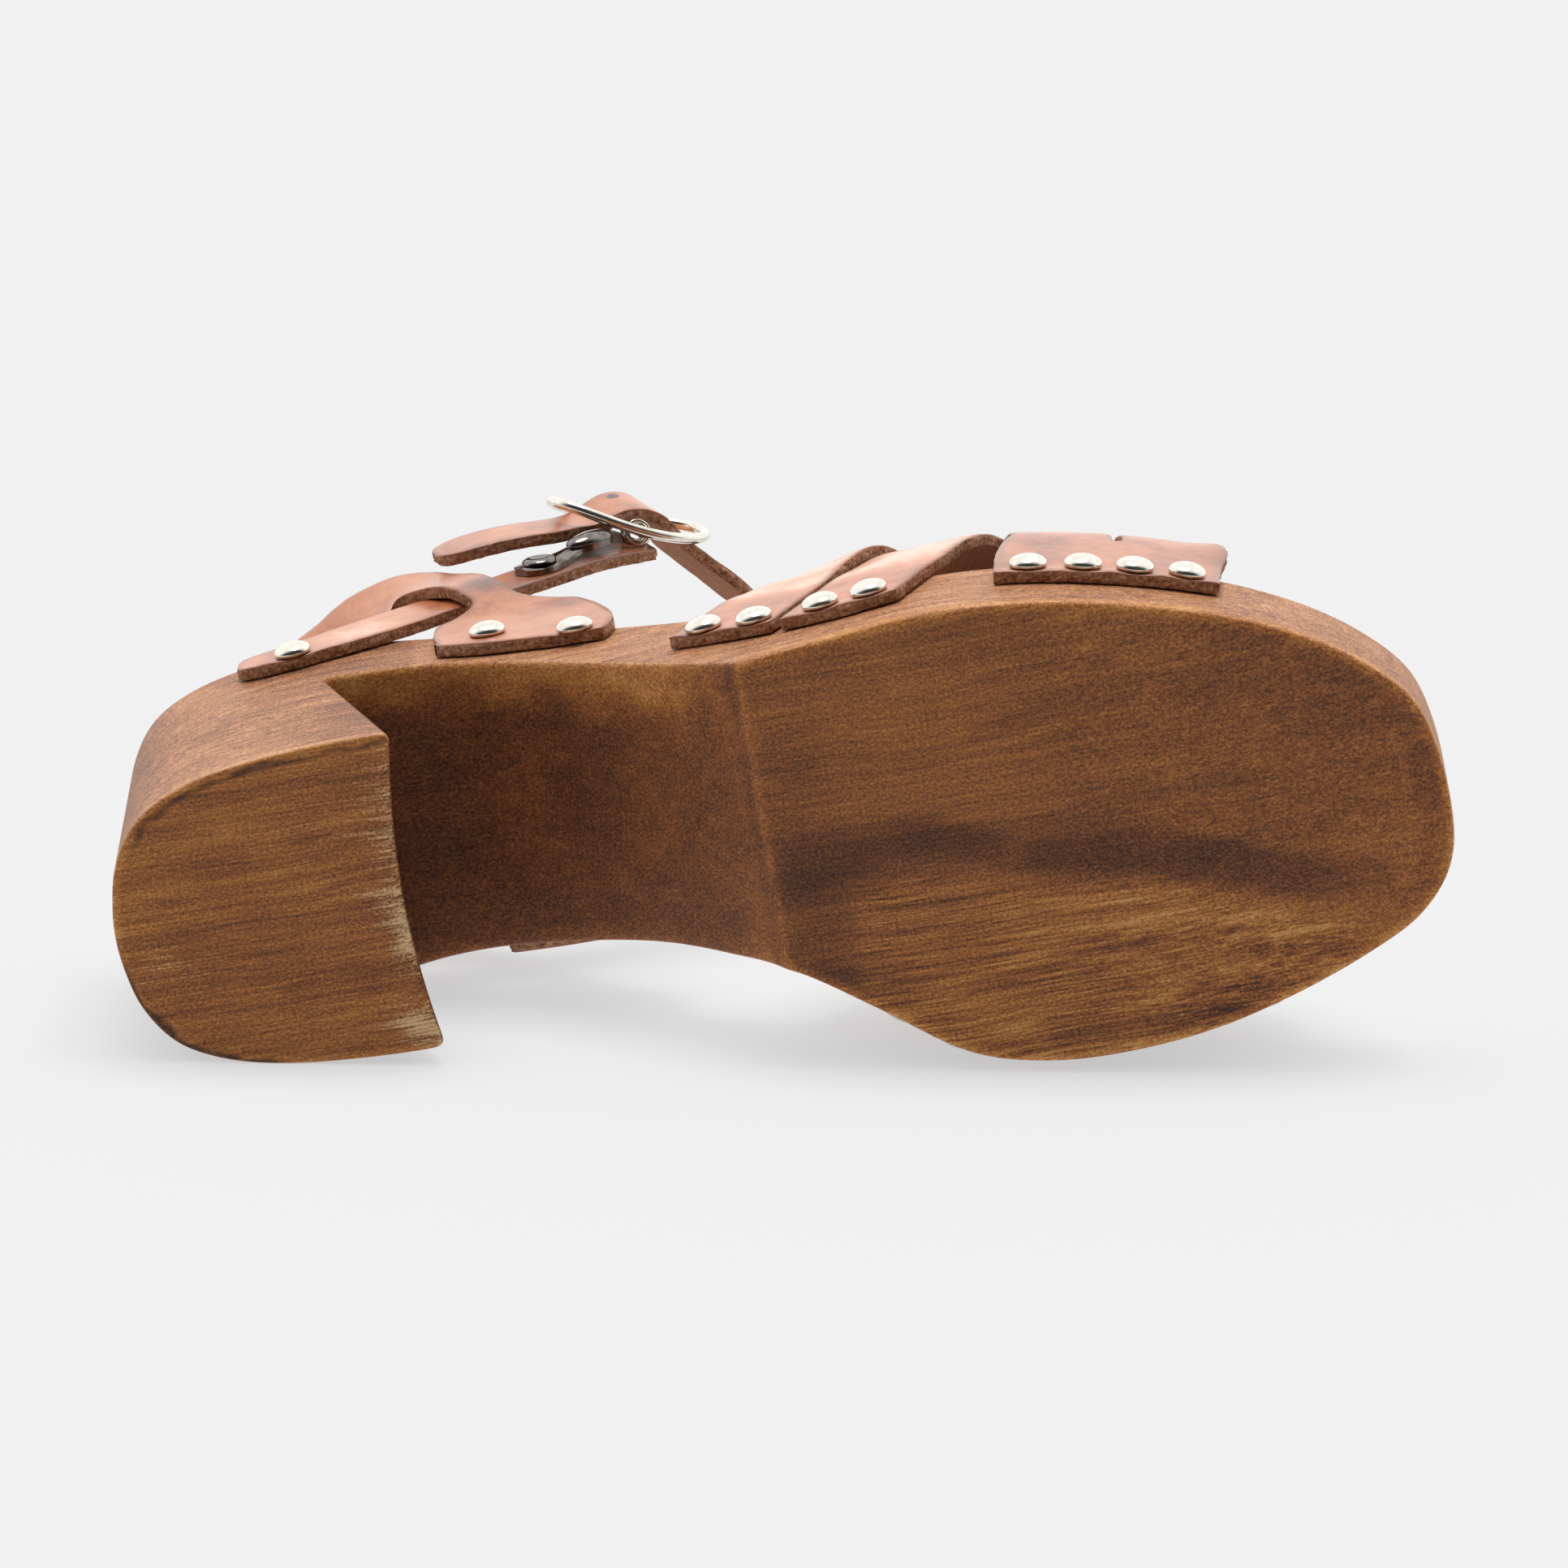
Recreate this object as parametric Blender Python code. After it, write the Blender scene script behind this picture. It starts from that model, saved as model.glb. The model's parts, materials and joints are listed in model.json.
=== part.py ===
"""Wooden sole sandal, right shoe.

The shoe is built standing: X from the back of the heel to the toe, Y towards the medial side
(left), Z up, tread on Z = 0, in millimetres.  An empty then lays it down on its medial side and
brings it to metres.
"""
import bpy
import bmesh
import numpy as np
from math import sin, cos, pi, sqrt
from mathutils import Matrix, Vector

for old in list(bpy.data.objects):
    bpy.data.objects.remove(old, do_unlink=True)

MM = 0.001

# ------------------------------------------------------------------ driving sizes (millimetres)
LENGTH = 236.6            # back of heel to tip of toe
TOE_TIP_MEDIAL = 17.5     # tip of the toe, off the heel axis towards the big toe
GAP = 0.3                 # clearance between pieces that touch
LEATHER = 2.2             # strap thickness
INSOLE = 1.5              # footbed cover thickness
INSOLE_INSET = 0.7
RIDGE_X = 116.3           # straight ridge where the arch ends and the tread begins
BREAST_FOOT_X = 54.6      # heel breast at the floor, at its corners
BREAST_HEAD_X = 41.0      # heel breast where it meets the arch
BREAST_HOLLOW = 2.8       # depth of the breast's curve in plan
TOE_SPRING = 6.5          # rise of the tread at the tip
TOE_SPRING_X = 166.0      # where the tread starts to rise
STUD_RADIUS = 3.4
STUD_RISE = 1.7
RING_LENGTH = 30.0        # buckle ring, centre line, along the strap
RING_HEIGHT = 17.8        # buckle ring, centre line, across the strap
RING_WIRE = 1.0           # wire radius
RING_BOW = 1.4            # how far the ends of the ring curve away from the ankle
RING_SINK = 2.2           # how far its middle lies inside the strap's loop
RING_TURN = 0.05          # share by which its front end turns to the ankle
RING_LEAN = 5.0           # degrees that the top of the ring leans to the ankle
RING_TILT = 4.0           # degrees more that the ring leans inside the strap's loop
RING_TWIST = 5.0          # degrees that this grows to its rear end and falls to its front end

# ------------------------------------------------------------------ tables
# plan of the sole, a row for each section: distance from the heel back, half widths at the top
# edge on the lateral and medial side, half width of the heel block at the floor
PLAN = [
    # x      lateral  medial  heel
    (0.5,    5.8,     5.8,    5.8),
    (2.4,    13.2,    13.2,   13.2),
    (7.2,    20.4,    20.4,   20.4),
    (14.5,   24.7,    24.7,   24.7),
    (25.0,   27.5,    27.4,   27.5),
    (41.0,   29.0,    28.0,   29.0),
    (54.6,   29.1,    25.8,   29.2),
    (75.0,   28.8,    24.2,   None),
    (95.0,   29.4,    23.0,   None),
    (107.0,  30.5,    23.9,   None),
    (116.3,  31.5,    25.5,   None),
    (131.0,  33.0,    35.2,   None),
    (146.0,  34.7,    45.9,   None),
    (160.0,  34.7,    49.7,   None),
    (175.0,  32.9,    50.2,   None),
    (190.0,  29.4,    48.7,   None),
    (205.0,  24.3,    45.0,   None),
    (218.0,  17.6,    40.4,   None),
    (227.5,  10.2,    35.8,   None),
    (233.2,  3.2,     30.2,   None),
    (235.8,  -5.6,    24.6,   None),
]
# side profile: height of the footbed, and of the underside between breast and ridge
FOOTBED = [
    # x      height
    (0.0,    70.0), (28.0, 70.0), (45.0, 68.6), (61.0, 63.8), (78.0, 57.0), (96.0, 47.6),
    (112.0,  37.4), (124.0, 31.6), (138.0, 28.2), (155.0, 27.0), (185.0, 27.2), (210.0, 28.0),
    (237.0,  29.6),
]
ARCH = [
    # x      height
    (36.0,   48.2), (41.0, 47.8), (53.0, 46.3), (62.0, 44.6), (70.0, 41.0), (78.0, 36.0),
    (87.0,   29.0), (96.0, 20.8), (105.0, 11.8), (111.5, 5.2), (116.3, 0.0),
]
# the last over the forefoot: crown height above the footbed, fullness of the section
INSTEP = [
    # x      rise   fullness: medial, lateral
    (98.0,   54.0,  2.7,  2.8),
    (115.0,  49.5,  2.7,  2.9),
    (135.0,  44.0,  2.6,  3.0),
    (155.0,  39.5,  2.5,  3.1),
    (175.0,  36.0,  2.4,  3.4),
    (205.0,  32.5,  2.4,  3.4),
]
# lower raw edge of the vamp pieces on the sole's wall
VAMP_EDGE = [
    # x      lateral  medial
    (100.0,  24.0,    28.0),
    (112.0,  17.6,    21.0),
    (124.0,  13.4,    16.6),
    (140.0,  11.4,    15.0),
    (152.0,  12.6,    15.0),
    (165.0,  13.6,    15.4),
    (180.0,  13.6,    15.4),
    (208.0,  15.2,    16.8),
]
# forked vamp piece: where it is nailed at the front and where its two straps end at the back
VAMP_STRAPS = [
    # name     front x  half   back x  half
    ("rear",   173.2,   9.0,   113.8,  9.2),
    ("front",  192.4,   8.8,   135.4,  10.5),
]
VAMP_TAB_END = 0.150       # share of the girth where the tab forks
VAMP_TAB_LIP = 0.9         # how much the tab is wider than its straps
TAB_HOLD = 0.14            # share of the girth before the straps lean back
VAMP_MEDIAL_SHIFT = 3.0    # medial fittings sit this much further forward
WEAVE = 0.75               # straps rise and dip by this where they cross

# back strap, from the middle of the heel down to its tab, on either side
BACK_STRAP = [
    # x      out     z      half width
    (6.0,    0.0,    86.0,  8.0),
    (7.4,    6.6,    86.1,  8.0),
    (12.4,   12.2,   86.5,  8.0),
    (20.0,   15.8,   87.3,  8.0),
    (31.0,   19.2,   89.2,  8.0),
    (41.0,   23.9,   91.6,  8.0),
    (48.0,   28.2,   92.8,  8.0),
    (55.5,   31.0,   91.4,  7.0),
    (61.4,   32.1,   86.8,  5.6),
    (66.2,   32.7,   80.6,  4.4),
    (69.9,   32.5,   74.4,  4.0),
    (72.4,   31.7,   69.6,  4.6),
    (73.2,   31.1,   66.4,  8.8),
    (73.8,   30.8,   63.4,  12.8),
    (75.4,   30.4,   58.4,  14.9),
    (77.2,   30.2,   53.0,  15.8),
    (77.6,   30.2,   47.6,  16.2),
    (76.8,   30.2,   43.6,  15.4),
]
MEDIAL_TAB_SHIFT = 4.0     # the medial tab sits this much further forward
MEDIAL_STUD_RISE = 3.5     # and its studs this much higher
# lateral strap: nailed at the heel, under the bridge of the back strap, up to the hook
HOOK_STRAP = [
    # x      out     z      half width
    (25.0,   29.2,   62.4,  3.4),
    (29.5,   29.8,   62.2,  4.6),
    (36.0,   30.4,   63.2,  5.4),
    (45.0,   30.6,   67.0,  6.0),
    (55.0,   30.7,   73.0,  6.0),
    (66.0,   30.6,   80.4,  6.0),
    (76.0,   30.3,   89.2,  6.0),
    (86.0,   29.9,   98.6,  6.0),
    (92.0,   29.4,   105.6, 6.0),
    (96.8,   28.8,   111.0, 6.0),
]
# medial strap: nailed at the heel, under the medial bridge, over the instep, through the buckle
ANKLE_STRAP = [
    # x      y (medial)  z   half width
    (25.0,   29.2,   62.4,  3.4),
    (29.5,   29.8,   62.2,  4.6),
    (36.0,   30.4,   63.2,  5.4),
    (45.0,   30.6,   67.0,  6.0),
    (55.0,   30.7,   73.0,  6.0),
    (66.0,   30.6,   80.4,  6.0),
    (76.0,   30.3,   89.2,  6.0),
    (87.0,   29.6,   99.4,  6.0),
    (98.5,   27.6,   108.2, 6.0),
    (109.0,  22.2,   115.2, 6.0),
    (115.8,  14.0,   119.8, 6.0),
    (119.4,  4.0,    121.9, 6.0),
    (118.4,  -5.2,   121.6, 6.0),
    (113.8,  -13.9,  119.8, 6.0),
]
# the rest of it, in the buckle's own directions: along the ring, outwards, up
BUCKLE_RUN = [
    # along  out    up     half width
    (14.8,   -7.0,  0.6,   6.0),
    (8.8,    -3.8,  0.2,   6.0),
    (3.6,    0.4,   0.0,   6.0),
    (0.0,    1.3,   0.0,   6.0),
    (-3.6,   0.4,   -0.1,  6.0),
    (-8.8,   -3.3,  -0.3,  6.0),
    (-14.8,  -5.3,  -0.6,  6.0),
    (-22.0,  -7.4,  -0.5,  6.0),
    (-30.0,  -10.8, 0.4,   6.0),
    (-35.3,  -13.7, 1.0,   4.6),
]
BUCKLE_CENTRE = (96.6, 33.8, 115.0)     # x, out (lateral), z
BUCKLE_ALONG = (0.860, -0.370, 0.360)   # x, outward and upward share of the ring's long direction
BAR_SET_BACK = 0.4                      # the bar lies this much nearer the ankle than the ring

# studs on each side: section, and height above the piece's lower edge or the floor
STUDS = [
    # group     x       z
    ("heel",    35.4,   60.6),
    ("tab",     71.0,   52.0),
    ("tab",     87.2,   43.8),
    ("mid",     111.2,  None),
    ("mid",     120.4,  None),
    ("mid",     132.6,  None),
    ("mid",     141.4,  None),
    ("front",   169.2,  None),
    ("front",   178.6,  None),
    ("front",   187.4,  None),
    ("front",   196.2,  None),
]
STUD_ABOVE_EDGE = 3.6
# hook plate: width along its length from rivet to hook, and how it lifts off the strap
HOOK_PLATE = [
    # along  half width  lift
    (-4.6,   1.6,        0.0),
    (-3.0,   3.6,        0.0),
    (0.0,    4.4,        0.0),
    (4.0,    3.4,        0.1),
    (8.0,    2.2,        0.7),
    (11.0,   3.0,        1.1),
    (14.0,   3.2,        1.2),
    (16.6,   2.1,        0.9),
]
HOOK_SHEET = 1.0
HOOK_X, HOOK_Z = 80.2, 91.2

COLOURS = {
    # slot        base colour              roughness  metallic
    "wood":       ((0.205, 0.085, 0.030),  0.50,      0.0),
    "insole":     ((0.520, 0.230, 0.110),  0.60,      0.0),
    "leather":    ((0.500, 0.200, 0.110),  0.50,      0.0),
    "nickel":     ((0.780, 0.740, 0.660),  0.20,      1.0),
    "dark_nickel": ((0.160, 0.140, 0.130), 0.25,      1.0),
}


# ------------------------------------------------------------------ helpers
def smooth(table, x, column=1):
    """Monotone cubic through a table's column."""
    xs = np.array([row[0] for row in table], float)
    ys = np.array([row[column] for row in table], float)
    h = np.diff(xs)
    d = np.diff(ys) / h
    m = np.zeros(len(xs))
    m[0], m[-1] = d[0], d[-1]
    for i in range(1, len(xs) - 1):
        if d[i - 1] * d[i] > 0:
            w1, w2 = 2 * h[i] + h[i - 1], h[i] + 2 * h[i - 1]
            m[i] = (w1 + w2) / (w1 / d[i - 1] + w2 / d[i])
    x = min(max(float(x), xs[0]), xs[-1])
    i = min(int(np.searchsorted(xs, x, side="right")) - 1, len(xs) - 2)
    i = max(i, 0)
    t = (x - xs[i]) / h[i]
    return float(ys[i] * (1 + 2 * t) * (1 - t) ** 2 + m[i] * h[i] * t * (1 - t) ** 2
                 + ys[i + 1] * t * t * (3 - 2 * t) + m[i + 1] * h[i] * t * t * (t - 1))


def step(a, b, x):
    t = min(max((x - a) / (b - a), 0.0), 1.0)
    return t * t * (3 - 2 * t)


def catmull(points, per_span, closed=False):
    """Centripetal spline through points, per_span samples for each span."""
    p = [np.array(q, float) for q in points]
    n = len(p)
    out = []
    for i in range(n if closed else n - 1):
        if closed:
            a, b, c, d = p[(i - 1) % n], p[i], p[(i + 1) % n], p[(i + 2) % n]
        else:
            b, c = p[i], p[i + 1]
            a = p[i - 1] if i else 2 * b - c
            d = p[i + 2] if i + 2 < n else 2 * c - b
        k = [0.0]
        for u, v in ((a, b), (b, c), (c, d)):
            k.append(k[-1] + max(np.linalg.norm((v - u)[:3]), 1e-6) ** 0.5)
        for j in range(per_span):
            t = k[1] + (k[2] - k[1]) * j / per_span
            a1 = a * (k[1] - t) / (k[1] - k[0]) + b * (t - k[0]) / (k[1] - k[0])
            a2 = b * (k[2] - t) / (k[2] - k[1]) + c * (t - k[1]) / (k[2] - k[1])
            a3 = c * (k[3] - t) / (k[3] - k[2]) + d * (t - k[2]) / (k[3] - k[2])
            b1 = a1 * (k[2] - t) / (k[2] - k[0]) + a2 * (t - k[0]) / (k[2] - k[0])
            b2 = a2 * (k[3] - t) / (k[3] - k[1]) + a3 * (t - k[1]) / (k[3] - k[1])
            out.append(b1 * (k[2] - t) / (k[2] - k[1]) + b2 * (t - k[1]) / (k[2] - k[1]))
    if not closed:
        out.append(p[-1])
    return out


def outline(per_span, column_lateral=1, column_medial=2):
    """Both halves of the plan, from the heel's back to the tip of the toe, with equal counts."""
    lat = [(r[0], -r[column_lateral]) for r in PLAN if r[column_lateral] is not None]
    med = [(r[0], r[column_medial]) for r in PLAN if r[column_medial] is not None]
    ring = [(0.0, 0.0)] + lat + [(LENGTH, TOE_TIP_MEDIAL)] + med[::-1]
    pts = catmull(ring, per_span, closed=True)
    half = (len(lat) + 1) * per_span
    lateral = pts[:half + 1]
    medial = [pts[0]] + pts[half:][::-1]
    return np.array(lateral), np.array(medial)


FINE_LATERAL, FINE_MEDIAL = outline(12)


def wall(x, side):
    """Half width of the sole at a section; side is -1 for lateral, +1 for medial."""
    curve = FINE_LATERAL if side < 0 else FINE_MEDIAL
    return float(np.interp(x, curve[:, 0], curve[:, 1] * side))


def tread(x):
    """Height of the tread: flat, then rising to the toe."""
    t = max(0.0, (x - TOE_SPRING_X) / (LENGTH - TOE_SPRING_X))
    return TOE_SPRING * t ** 1.8


def footbed(x):
    return smooth(FOOTBED, x)


def underside(x):
    return smooth(ARCH, x) if x < RIDGE_X else tread(x)


def material(slot):
    name = "part_" + slot
    if name in bpy.data.materials:
        return bpy.data.materials[name]
    colour, rough, metal = COLOURS[slot]
    mat = bpy.data.materials.new(name)
    mat.use_nodes = True
    bsdf = mat.node_tree.nodes["Principled BSDF"]
    bsdf.inputs["Base Color"].default_value = (*colour, 1.0)
    bsdf.inputs["Roughness"].default_value = rough
    bsdf.inputs["Metallic"].default_value = metal
    mat.diffuse_color = (*colour, 1.0)
    return mat


def add_object(name, verts, faces, slot, guide=False):
    mesh = bpy.data.meshes.new(name)
    mesh.from_pydata([tuple(float(c) for c in v) for v in verts], [], faces)
    bm = bmesh.new()
    bm.from_mesh(mesh)
    bmesh.ops.remove_doubles(bm, verts=bm.verts, dist=0.002)
    bmesh.ops.dissolve_degenerate(bm, edges=bm.edges, dist=0.001)
    bmesh.ops.recalc_face_normals(bm, faces=bm.faces)
    bmesh.ops.triangulate(bm, faces=[f for f in bm.faces if len(f.verts) > 3])
    bm.to_mesh(mesh)
    bm.free()
    mesh.materials.append(material(slot))
    obj = bpy.data.objects.new(name, mesh)
    bpy.context.scene.collection.objects.link(obj)
    if guide:
        obj.hide_render = True
        obj.display_type = 'WIRE'
    else:
        mesh.shade_smooth()
        mesh.set_sharp_from_angle(angle=0.6)
    return obj


def union(obj, *others):
    for other in others:
        mod = obj.modifiers.new("join", 'BOOLEAN')
        mod.operation = 'UNION'
        mod.solver = 'EXACT'
        mod.object = other


# ------------------------------------------------------------------ wooden sole
def sole():
    """Footbed, wall, heel block, breast, arch and tread as patches that share their borders."""
    verts, faces = [], []

    def grid(rows):
        """Quads over equal rows of points."""
        base = len(verts)
        n = len(rows[0])
        for row in rows:
            verts.extend(row)
        for i in range(len(rows) - 1):
            for j in range(n - 1):
                a = base + i * n + j
                faces.append((a, a + 1, a + n + 1, a + n))

    per = 4
    lat, med = outline(per)
    n = len(lat)
    row_breast = (6) * per                    # section at the head of the breast
    assert abs(lat[row_breast][0] - BREAST_HEAD_X) < 0.5
    ridge = int(np.argmin(np.abs(lat[:, 0] - RIDGE_X)))
    across = [0.0, 0.06, 0.25, 0.5, 0.75, 0.94, 1.0]

    def rung(i, height, j0=lat, j1=med):
        a, b = j0[i], j1[i]
        return [(a[0] + (b[0] - a[0]) * s, a[1] + (b[1] - a[1]) * s,
                 height(a[0] + (b[0] - a[0]) * s)) for s in across]

    # footbed and its wall down to the underside
    grid([rung(i, footbed) for i in range(n)])
    for half in (lat, med):
        grid([[(p[0], p[1], footbed(p[0])), (p[0], p[1], 0.5 * (footbed(p[0]) + underside(p[0]))),
               (p[0], p[1], underside(p[0]))] for p in half[row_breast:]])
        grid([[(p[0], p[1], footbed(p[0])),
               (p[0], p[1], 0.5 * (footbed(p[0]) + smooth(ARCH, BREAST_HEAD_X))),
               (p[0], p[1], smooth(ARCH, BREAST_HEAD_X))] for p in half[:row_breast + 1]])
    # arch and tread
    grid([rung(i, underside) for i in range(row_breast, ridge + 1)])
    grid([rung(i, tread) for i in range(ridge, n)])

    # heel block below the arch: wall sections lean forward towards the breast
    head_z = smooth(ARCH, BREAST_HEAD_X)
    heel = [(r[0], r[3]) for r in PLAN if r[3] is not None]
    heel_curve = catmull([(heel[0][0], -heel[0][1]), (0.0, 0.0)] + heel + [(70.0, heel[-1][1])], 6)
    heel_curve = np.array(heel_curve[6:])
    floor_x = np.array([p[0] for p in lat[:row_breast + 1]]) * BREAST_FOOT_X / BREAST_HEAD_X
    floor_half = np.interp(floor_x, heel_curve[:, 0], heel_curve[:, 1])
    levels = [0.0, 0.06, 0.35, 0.7, 1.0]

    def heel_point(i, side, t):
        top = (lat if side < 0 else med)[i]
        return (floor_x[i] + (top[0] - floor_x[i]) * t,
                side * floor_half[i] + (top[1] - side * floor_half[i]) * t, head_z * t)

    for side in (-1, 1):
        grid([[heel_point(i, side, t) for t in levels] for i in range(row_breast + 1)])

    def hollow(s, t):
        return -BREAST_HOLLOW * (1 - (2 * s - 1) ** 2) * (1 - t)

    breast = []
    for t in levels:
        a, b = heel_point(row_breast, -1, t), heel_point(row_breast, 1, t)
        breast.append([(a[0] + (b[0] - a[0]) * s + hollow(s, t), a[1] + (b[1] - a[1]) * s,
                        head_z * t) for s in across])
    grid(breast)
    floor = []
    for i in range(row_breast + 1):
        a, b = heel_point(i, -1, 0.0), heel_point(i, 1, 0.0)
        k = i / row_breast
        floor.append([(a[0] + (b[0] - a[0]) * s + hollow(s, 0.0) * k ** 3,
                       a[1] + (b[1] - a[1]) * s, 0.0) for s in across])
    grid(floor)
    return add_object("wooden_sole", verts, faces, "wood")


def insole():
    """Thin cover on the footbed, a little inside the edge."""
    verts, faces = [], []
    lat, med = outline(2)
    n = len(lat)
    centre = np.array([(a + b) / 2 for a, b in zip(lat, med)])

    def inset(half, i):
        a = half[max(i - 1, 0)]
        b = half[min(i + 1, n - 1)]
        t = b - a
        side = -1 if half is lat else 1
        if i in (0, n - 1):
            return half[i] + np.array((INSOLE_INSET if i == 0 else -INSOLE_INSET, 0.0))
        normal = np.array((t[1], -t[0])) * side / max(np.linalg.norm(t), 1e-6)
        return half[i] + normal * INSOLE_INSET

    share = [0.0, 0.5, 1.0]
    for lift in (GAP, GAP + INSOLE):
        for i in range(n):
            a, b = inset(lat, i), inset(med, i)
            for s in share:
                p = a + (b - a) * s
                verts.append((p[0], p[1], footbed(p[0]) + lift))
    m = len(share)
    layer = n * m
    for i in range(n - 1):
        for j in range(m - 1):
            a = i * m + j
            faces.append((a, a + m, a + m + 1, a + 1))
            a += layer
            faces.append((a, a + 1, a + m + 1, a + m))
        for j in (0, m - 1):
            a, b = i * m + j, (i + 1) * m + j
            faces.append((a, b, b + layer, a + layer))
    return add_object("insole", verts, faces, "insole")


# ------------------------------------------------------------------ vamp
def vamp_section(x):
    """Middle of the leather over the last at a section, lateral edge to medial edge."""
    rise = smooth(INSTEP, x, 1)
    seat = footbed(x) + INSOLE + 2.0
    top = footbed(x) + rise
    out = []
    ends = []
    for side, column in ((-1, 1), (1, 2)):
        slope = (wall(x + 1, side) - wall(x - 1, side)) / 2
        ends.append((wall(x, side) + (GAP + LEATHER / 2) * sqrt(1 + slope * slope),
                     smooth(VAMP_EDGE, x, column)))
    crown = (ends[1][0] - ends[0][0]) / 2 + 0.07 * (ends[0][0] + ends[1][0])
    steps = 28
    for (half, low), side in zip(ends, (-1, 1)):
        full = smooth(INSTEP, x, 3 if side < 0 else 2)
        run = []
        for k in range(6):
            run.append((side * half, low + (seat - low) * k / 6))
        for k in range(steps + 1):
            a = (pi / 2) * k / steps
            run.append((crown + (side * half - crown) * cos(a) ** (2 / full),
                        seat + (top - seat) * sin(a) ** (2 / full)))
        out.append(run)
    return np.array(out[0] + out[1][::-1][1:])


SECTION_CACHE = {}


def vamp_point(x, g):
    """Point on the vamp's middle surface at section x and share g of the girth."""
    key = round(x, 3)
    if key not in SECTION_CACHE:
        sec = vamp_section(x)
        run = np.concatenate(([0.0], np.cumsum(np.linalg.norm(np.diff(sec, axis=0), axis=1))))
        SECTION_CACHE[key] = (sec, run / run[-1])
    sec, run = SECTION_CACHE[key]
    return np.array((x, np.interp(g, run, sec[:, 0]), np.interp(g, run, sec[:, 1])))


def vamp_normal(x, g):
    du = vamp_point(x + 0.8, g) - vamp_point(x - 0.8, g)
    dv = vamp_point(x, min(g + 0.012, 1.0)) - vamp_point(x, max(g - 0.012, 0.0))
    nrm = np.cross(du, dv)
    nrm /= np.linalg.norm(nrm)
    return nrm


def strap_lean(g):
    """Share of the way from the front fitting to the back one."""
    bend = 0.3
    slope = 1.0 / (bend / 2 + (1 - bend))
    k = max(0.0, (g - TAB_HOLD) / (1 - TAB_HOLD))
    run = slope * k * k / (2 * bend) if k < bend else slope * (bend / 2 + k - bend)
    return run - 0.035 * np.exp(-((g - 0.18) / 0.075) ** 2)


def vamp_path(index, g):
    name, front, front_half, back, back_half = VAMP_STRAPS[index]
    return front + (back - front) * strap_lean(g)


def vamp_half(index, g):
    name, front, front_half, back, back_half = VAMP_STRAPS[index]
    slit = 0.8 * np.exp(-((g - 0.27) / 0.10) ** 2)
    return front_half + (back_half - front_half) * step(0.3, 1.0, g) - slit


def weave(piece, index, g):
    """Rise of a strap over and under the two that it crosses."""
    cross = []
    for other in range(2):
        gs = np.linspace(0.2, 0.8, 121)
        d = [abs(vamp_path(index, q) - vamp_path(other, 1 - q)) for q in gs]
        cross.append((gs[int(np.argmin(d))], 1 if (index + other) % 2 == 0 else -1))
    sign = -1 if piece == 0 else 1
    total = 0.0
    for at, way in cross:
        total += way * sign * WEAVE * np.exp(-((g - at) / 0.062) ** 2)
    return total


def arch(index, from_lateral, forward):
    """Bow of the straps that rise from the two lateral tabs, more at their front edges."""
    at, width, rear, front = ((0.27, 0.12, -2.2, 1.2), (0.19, 0.08, -1.0, 0.3))[index]
    bow = np.exp(-((from_lateral - at) / width) ** 2) * step(0.105, 0.165, from_lateral)
    return bow * (rear + (front - rear) * step(-1.1, 1.1, forward))


def vamp_piece(piece):
    """One forked piece: a nailed tab at the front and two straps across the foot."""
    stations = list(np.linspace(0.0, VAMP_TAB_END, 4)) + list(np.linspace(VAMP_TAB_END, 1.0, 30))[1:]
    shares = (-1.0, -0.5, 0.0, 0.5, 1.0)
    verts, faces = [], []
    outer = piece == 1

    def place(x, g, lift):
        if outer:
            x, g = x + VAMP_MEDIAL_SHIFT * (1 - g), 1 - g
        else:
            x = x + VAMP_MEDIAL_SHIFT * g
        return vamp_point(x, g) + vamp_normal(x, g) * lift

    n = 2 * len(shares)
    for top in (0, 1):
        for g in stations:
            for index in (0, 1):
                half = vamp_half(index, g)
                for s in shares:
                    x = vamp_path(index, g) + s * half
                    if g <= VAMP_TAB_END + 1e-6:
                        x += VAMP_TAB_LIP * s if abs(s) == 1.0 and (index == 0) == (s < 0) else 0
                        if g < VAMP_TAB_END - 1e-6 and abs(s) == 1.0 and (index == 0) == (s > 0):
                            x = 0.5 * (vamp_path(0, g) + vamp_half(0, g)
                                       + vamp_path(1, g) - vamp_half(1, g))
                    lift = weave(piece, index, g) + (LEATHER / 2 if top else -LEATHER / 2)
                    if outer:
                        lift += arch(index, 1 - g, s)
                    verts.append(place(x, g, lift))
    layer = n * len(stations)
    fork = 2                                       # last row of the tab before the fork
    quads = []
    for i in range(len(stations) - 1):
        for j in range(n - 1):
            if j == len(shares) - 1 and i > fork - 1:
                continue
            quads.append((i * n + j, (i + 1) * n + j, (i + 1) * n + j + 1, i * n + j + 1))
    edges = {}
    for q in quads:
        for a, b in zip(q, q[1:] + q[:1]):
            edges[(a, b)] = edges.get((a, b), 0) + 1
    for q in quads:
        faces.append(q)
        faces.append(tuple(v + layer for v in reversed(q)))
    for (a, b) in edges:
        if (b, a) not in edges:
            faces.append((b, a, a + layer, b + layer))
    return add_object("vamp_straps" if piece == 0 else "vamp_medial_piece", verts, faces,
                      "leather", guide=piece == 1)


# ------------------------------------------------------------------ heel and ankle straps
def fit_side(x, out, z):
    """Bring a side position given for the lateral wall to the medial wall."""
    near = 1.0 - step(footbed(x) + 4.0, footbed(x) + 34.0, z)
    return out + (wall(x, 1) - wall(x, -1)) * near if 8.0 < x < 110.0 else out


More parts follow.
